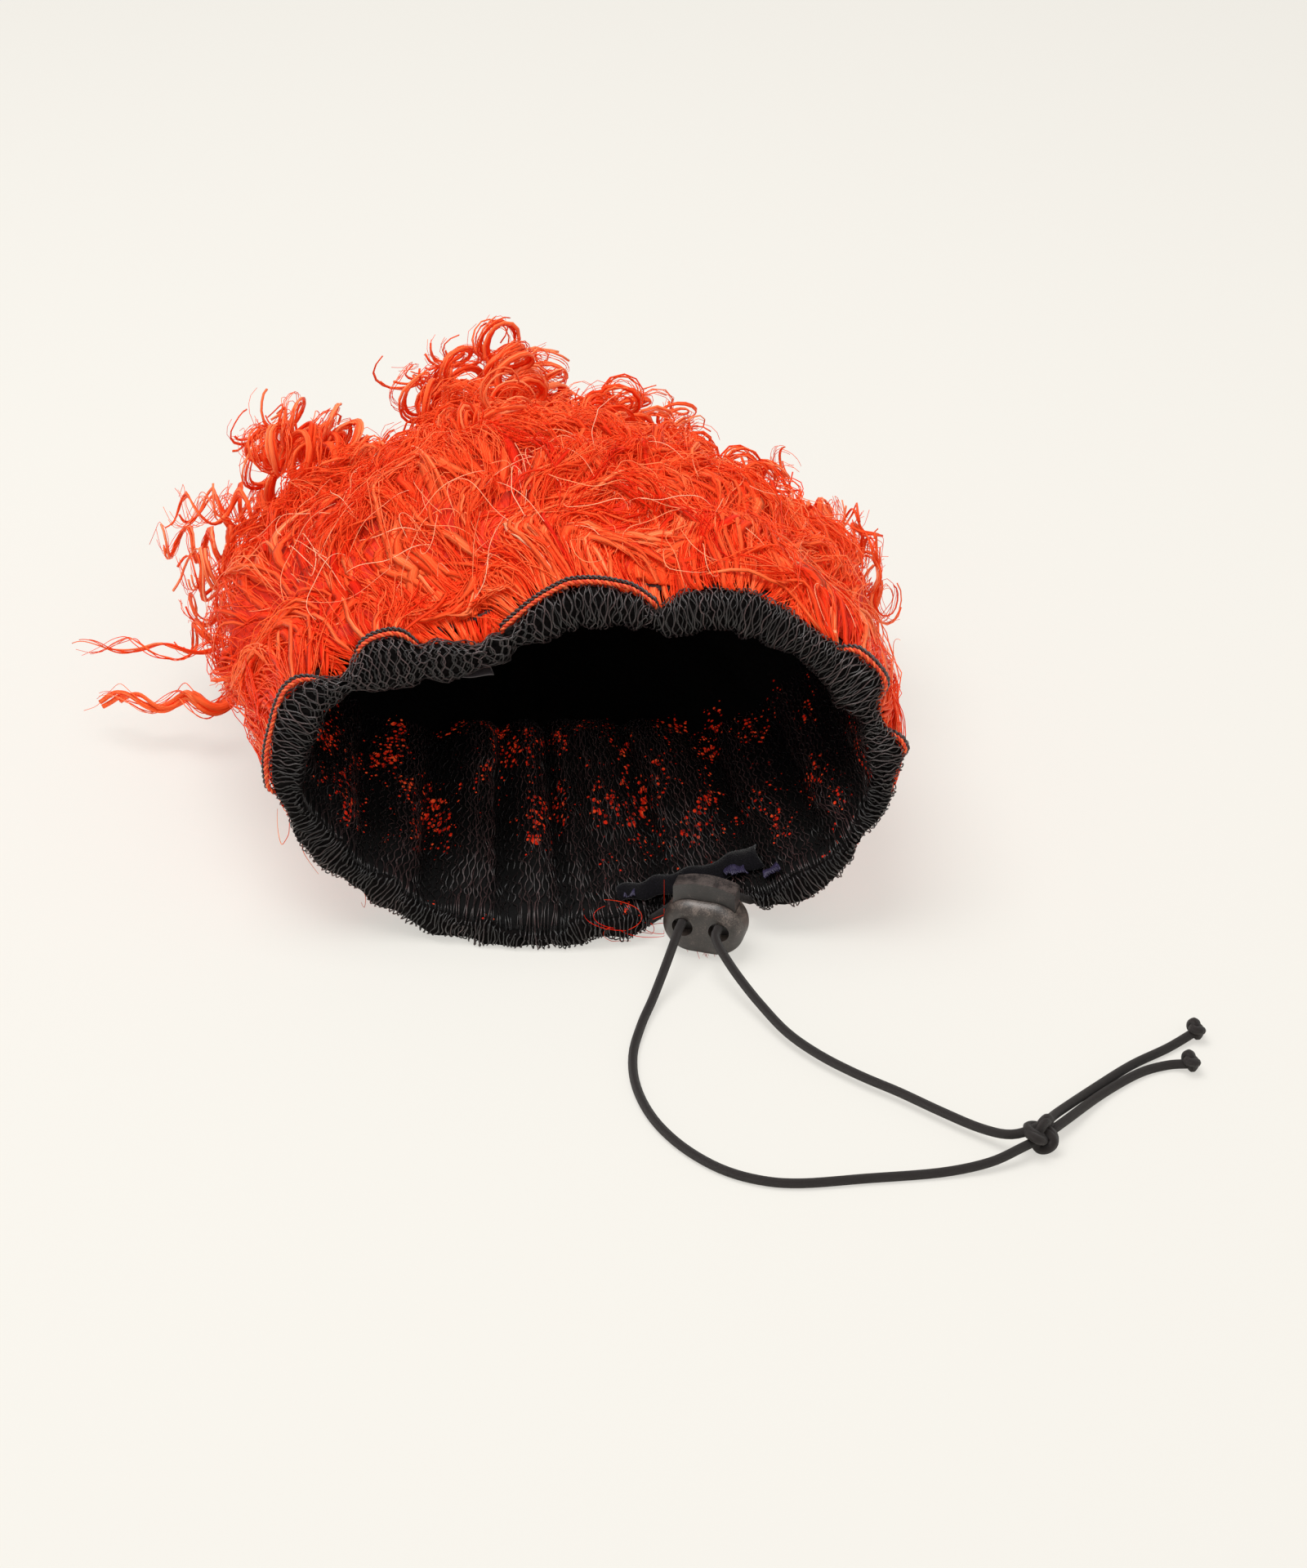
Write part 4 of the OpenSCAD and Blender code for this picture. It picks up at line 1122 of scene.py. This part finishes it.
def layer(rng, k, count, steps, length, depth, even=False, spread=0.14, rise=0.3):
    """Lines for count strands of row k, as grow_locks gives them, with their lengths and depths."""
    if even:
        angle = np.arange(count) * 360.0 / count + rng.uniform(-1, 1, count)
    else:
        show = rng.uniform(0, 1, count) >= HIDDEN
        angle = np.where(show, rng.uniform(-42, 222, count), rng.uniform(222, 318, count))
    t = (ROW_AT[0] + rng.uniform(0, 0.02, count) if k == 1 and even else
         rng.uniform(ROW_AT[k - 1], mix(ROW_AT[k - 1], ROW_AT[k], 0.9), count))
    length, depth = rng.uniform(*length, count) * (1 if k < 6 else 0.8), rng.uniform(*depth, count)
    heading = rng.normal(0, spread, count) + 0.45 * sway(fur_point(angle, t, 0.8), 9, 43)
    return *grow_locks(angle, t, length, depth, heading, steps, rise), length, depth


def tones(rng, lines, depth, many=1, low=0.0, noise=0.07):
    """V for many strands of each line: darker the deeper it lies, as painted shade, and alike in each clump.
    """
    tone = low + 0.5 * depth + 0.16 * sway(lines[:, len(lines[0]) // 2], 10, 41)
    return np.clip(np.repeat(tone, many) + rng.normal(0, noise, len(depth) * many), 0.02, 0.93)


def hair_row(k):
    """Row k of hair: its matted part, a thatch of bands, a veil of strands, and curly locks."""
    rng = np.random.default_rng(100 + k)
    n_thatch, n_narrow, n_single, n_lock = ROW_PLAN[k - 1]
    crown = ease((k - 2) / 3)
    lines, outward, length, depth = layer(rng, k, n_thatch, 15, (32, 54), (0.74, 0.86), True, rise=0.35)
    thatch = strands_of(lines, outward, 1, 0.0, 1.2, 30, length, 150 + k, loose=0.3, fuzz=0.3)
    thatch_tone = tones(rng, lines, depth, noise=0.05)
    lines, outward, length, depth = layer(rng, k, n_narrow, 18, (44, 80), (0.8, 0.94))
    narrow = strands_of(lines, outward, 1, 0.0, rng.uniform(0.6, 1.6, n_narrow), 30, length, 180 + k,
                        fuzz=0.4)
    narrow_tone = tones(rng, lines, depth, noise=0.05)
    lines, outward, length, depth = layer(rng, k, n_single, 15, (42, 84), (0.8, 1.0), spread=0.22)
    messy = rng.uniform(0, 1, n_single) < 0.3
    veil = strands_of(lines, outward, 1, 0.0, np.where(messy, 2.4, 0.7) * rng.uniform(0.6, 1.3, n_single),
                      rng.uniform(24, 44, n_single), length, 190 + k, fuzz=0.8)
    veil_tone = tones(rng, lines, depth)
    lines, outward, length, depth = layer(rng, k, n_lock, 22, (50, 84), (0.84, 1.04), spread=0.35)
    curl, pitch = mix(1.2, 4.2, crown) * rng.uniform(0.7, 1.3, n_lock), rng.uniform(17, 28, n_lock)
    bands = strands_of(lines, outward, 2, 1.8, curl, pitch, length, 200 + k, loose=0.16, fuzz=0.3)
    singles = strands_of(lines, outward, 9, mix(4.2, 3.0, crown), curl, pitch, length, 300 + k,
                         loose=0.3, fuzz=0.8)
    build("weft_hair_%d" % k, [
        singles_part(veil, 0.15, veil_tone), singles_part(singles, 0.18, tones(rng, lines, depth, 9, 0.05)),
        bands_part(bands, 0.85, tones(rng, lines, depth, 2), spread=0.07),
        bands_part(narrow, 0.65, narrow_tone),
        bands_part(thatch, 1.6, thatch_tone, 0.12, sides=4, flat=0.2, spread=0.13), under_row(k)],
        HAIR, "hair", "hair_row_%d" % k)


for k in range(1, WEFTS + 1):
    hair_row(k)

# %% The roots along the edge
# The first weft stands up behind its two cords, and its strands fan out over the hem.
rng = np.random.default_rng(450)
count, rings = 1300, 13
angle = rng.uniform(-26, 210, count)
length, depth = rng.uniform(26, 52, count), rng.uniform(0.78, 0.98, count)
heading = rng.normal(0, 0.25, count) + 0.55 * sway(rim_point(angle), 8, 457)
root_at = ROW_AT[0] + rng.uniform(0, 0.012, count)
lines, outward = grow_locks(angle, root_at, length, depth, heading, rings, rise=0.5)
centre, out, into = hem_frame(angle)
tuck = rng.uniform(0, 1, (count, 1))
foot = centre + out * (at_angle(HEM_OUT, angle)[:, None] - 1.2 + tuck) + into * (1.0 + 1.4 * tuck)
s = np.linspace(0, 1, rings)[None, :, None]
lines = mix(foot[:, None] + (lines - lines[:, :1]), lines, ease(s / 0.55))
lines = lines + 1.1 * out[:, None] * np.sin(np.pi * np.clip(s / 0.5, 0, 1))
lines = above(lines + 0.5 * ease(s / 0.3) * strayed(rng, lines, 8, 454), STRAND_GAP)
wide = rng.uniform(0, 1, count) < 0.12
tone = np.clip(rng.normal(0.45, 0.1, count) + 0.14 * sway(lines[:, rings // 2], 7, 41), 0.03, 0.9)
build("edge_roots", [singles_part(lines[~wide], 0.16, tone[~wide], 0.4),
                     bands_part(lines[wide], 0.8, tone[wide], 0.15, flat=0.3)], HAIR[:2], "hair")

# %% [markdown]
# ## Ringlets
# At the crown and the sides the curls come loose from the mass as ringlets: ropes of a
# few strands, 3 to 4 mm thick, wound into coils 8 to 14 mm across.

# %% Ringlets
def ringlets(base, tip, seed, coil=5.0, pitch=8.5, rings=60, rope=1.7, strands=5):
    """Parts for a coiled rope of strands from each base to each tip."""
    rng = np.random.default_rng(seed)
    base, tip = np.asarray(base, float), np.asarray(tip, float)
    count = len(base)
    s = np.linspace(0, 1, rings)[None, :, None]
    lines = mix(base[:, None], tip[:, None], s)
    shift = rng.uniform(-90, 90, (count, 1, 3))
    lines = above(lines + 4.0 * ease(s * 1.5) * wander(lines + shift, 22, seed), 3.0)
    length = np.linalg.norm(tip - base, axis=-1)
    outward = np.broadcast_to(unit(np.cross(tip - base, [0.3, 0.2, 1.0]))[:, None], lines.shape)
    coil, pitch = coil * rng.uniform(0.75, 1.25, count), pitch * rng.uniform(0.8, 1.3, count)
    core, loose = (strands_of(lines, outward, many, width * rope, coil, pitch, length, seed, spread, fuzz,
                              start=0.0, shortest=0.86, flatness=1.0)
                   for many, width, spread, fuzz in ((3, 0.45, 0.05, 0.2), (strands, 0.8, 0.12, 0.45)))
    taper = 1 - 0.6 * ease((np.linspace(0, 1, rings) - 0.5) / 0.5)
    core_tone, loose_tone = (rng.uniform(0.3, 0.72, count * many) for many in (3, strands))
    return [tube_part(core, 0.55 * rope * taper, core_tone, sides=4, flat=0.6, spread=0.06, slot=1),
            singles_part(loose, 0.17, loose_tone)]


MASS_MIDDLE = np.array([-12.0, 50, 44])
CURL_TIPS = {
    "left": [(-101, 97, 67), (-112, 68, 60), (-121, 46, 45), (-121, 49, 24), (-84, 74, 83)],
    "crown": [(-58, 116, 76), (-36, 122, 82), (-14, 124, 74), (8, 118, 66), (-66, 124, 42), (-26, 138, 40)],
    "right": [(33, 98, 60), (54, 84, 57), (74, 70, 51), (89, 44, 42)]}
for number, (part, tips) in enumerate(CURL_TIPS.items()):
    rng = np.random.default_rng(500 + number)
    tips = np.repeat(np.asarray(tips, float), 4, axis=0)
    tips = tips + rng.normal(0, 1, tips.shape) * [7, 5, 5] * (np.arange(len(tips)) % 4 > 0)[:, None]
    base = tips + 40 * unit(MASS_MIDDLE - tips) + rng.normal(0, 4, tips.shape)
    build("ringlets_" + part, ringlets(base, tips, 510 + 10 * number), HAIR[:2], "hair", "curls_" + part)

stray = (ringlets([[-86, 20, 22]], [[-143, 33, 12]], 560, coil=3.0, pitch=19, rope=3.2, strands=9)
         + ringlets([[-100, 24, 34]], [[-145, 30, 27]], 570, coil=2.4, pitch=26, rope=0.6))
build("stray_ringlet", stray, HAIR[:2], "hair", "stray_lock")

# %% Ringlets all over the outside
rng = np.random.default_rng(600)
count = 56
angle, t = rng.uniform(-20, 205, count), rng.uniform(0.5, 0.95, count)
foot = fur_point(angle, t, np.full(count, 0.55))
head = fur_point(angle + rng.normal(0, 9, count), np.clip(t + rng.uniform(0.02, 0.16, count), 0, 0.985),
                 np.full(count, 1.0)) + rng.normal(0, 2, (count, 3)) + [0, 2, 4.0]
build("loose_ringlets", ringlets(foot, head, 610, coil=4.4, rings=38, rope=1.4, strands=4),
      HAIR[:2], "hair")

# %% [markdown]
# ## Flyaway strands
# Single strands stand off the mass in wide arcs. They are painted the palest, as painted
# light for the light that goes through them.

# %% Flyaways
rng = np.random.default_rng(700)
count, rings = 900, 20
angle, t = rng.uniform(-25, 212, count), 0.07 + 0.85 * rng.uniform(0, 1, count) ** 1.5
foot = fur_point(angle, t, rng.uniform(0.86, 1.0, count))
out = outwards(angle, t)
along = unit(fur_point(angle, t + 0.01, np.ones(count)) - fur_point(angle, t - 0.01, np.ones(count)))
turn = rng.normal(0, 1.1, count)[:, None] + rng.choice([-1.0, 1.0], count)[:, None] * 0.9
go = unit(along * np.cos(turn) + np.cross(out, along) * np.sin(turn) + 0.16 * out)
bow = unit(rng.choice([-1.0, 1.0], count)[:, None] * np.cross(go, out)
           + rng.normal(-0.22, 0.2, (count, 1)) * out)
small = rng.uniform(0, 1, (count, 1)) < 0.3
radius, length = (np.where(small, rng.uniform(*tight, (count, 1)), rng.uniform(*open_, (count, 1)))
                  for tight, open_ in (((6, 11), (16, 45)), ((18, 46), (22, 52))))
s = np.linspace(0, 1, rings)
arc = length / radius * s
lines = (foot[:, None] + (radius * np.sin(arc))[..., None] * go[:, None]
         + (radius * (1 - np.cos(arc)))[..., None] * bow[:, None])
lines = above(lines + 0.9 * strayed(rng, lines, 9, 709), STRAND_GAP)


def from_axis(points, shift):
    """How far points are from the long axis of the cap or the hair, which shifts to the left."""
    return np.hypot(points[..., 0] + shift, points[..., 2] - RIM_MID_Z)


# A strand that would stand too far off the wig, or cross its opening, is left out.
HIGHEST, LEFTMOST, RIGHTMOST = 104, -126, 99
x, y, z = np.moveaxis(lines, -1, 0)
front = y - (RIM_FRONT_Y + RIM_LEAN * (z - RIM_MID_Z + CAP_HALF_H))
depth = np.clip(front / CAP_DEPTH, 0.02, 0.95)
wall = cap_point(np.degrees(np.arctan2(z - RIM_MID_Z, x)), depth, 2.0)
inside = from_axis(lines, CAP_SHIFT * depth) < from_axis(wall, CAP_SHIFT * depth)
keep = (z.max(1) < HIGHEST) & (x.min(1) > LEFTMOST) & (x.max(1) < RIGHTMOST) & (front.min(1) > -1)
keep &= ~(inside & (front < 120)).any(1)
share = np.clip((y - RIM_FRONT_Y - RIM_LEAN * CAP_HALF_H) / HAIR_DEPTH, 0.02, 0.97)
skin = hair_point(np.degrees(np.arctan2(z - RIM_MID_Z, x + HAIR_SHIFT * share)), share)
stands_off = from_axis(lines, HAIR_SHIFT * share) - from_axis(skin, HAIR_SHIFT * share)
keep &= stands_off.max(1) < np.where(rng.uniform(0, 1, count) < 0.12, 14, 5)
lines = lines[keep]
# Painted light: the flyaways get the palest tones.
tone = rng.uniform(0.78, 0.97, len(lines))

# Loose hairs lie over the edge by the lock, and a dark tuft has slipped out below it.
FALLEN, TUFT = 12, 40
foot = hem_skin(rng.uniform(276, 298, FALLEN), np.full(FALLEN, 175.0), -0.6)
turn, curve = rng.uniform(0, 2 * np.pi, (FALLEN, 1)), rng.uniform(-0.24, 0.24, (FALLEN, 1))
arc = turn + curve * rng.uniform(14, 26, (FALLEN, 1)) * s
step = rng.uniform(14, 32, (FALLEN, 1)) / (rings - 1)
fallen = foot[:, None] + np.cumsum(np.stack([np.cos(arc) * step, -0.25 * np.sin(arc) * step,
                                             np.sin(arc) * step * 0.7], -1), 1)
fallen[..., 0] = np.minimum(fallen[..., 0], LOCK_AT[0] - 11)
foot = LOCK_AT * [1, 1, 0] + [-1.0, 7.0, 1.6] + rng.normal(0, 1, (TUFT, 3)) * [2.2, 1.0, 0.4]
reach = [0.5, -9.0, -0.9] + rng.normal(0, 1, (TUFT, 3)) * [2.0, 2.0, 0.3]
low = above(np.concatenate([fallen, foot[:, None] + s[None, :, None] * reach[:, None]]), STRAND_GAP)
low_tone = np.concatenate([rng.uniform(0.05, 0.4, FALLEN), rng.uniform(0.0, 0.1, TUFT)])
build("flyaway_strands", [singles_part(lines, 0.13, tone), singles_part(low, 0.1, low_tone)],
      HAIR[:1], "hair")

# %% The end of the script
def corners(bounds):
    return [[round(float(x), 6) for x in corner] for corner in bounds]
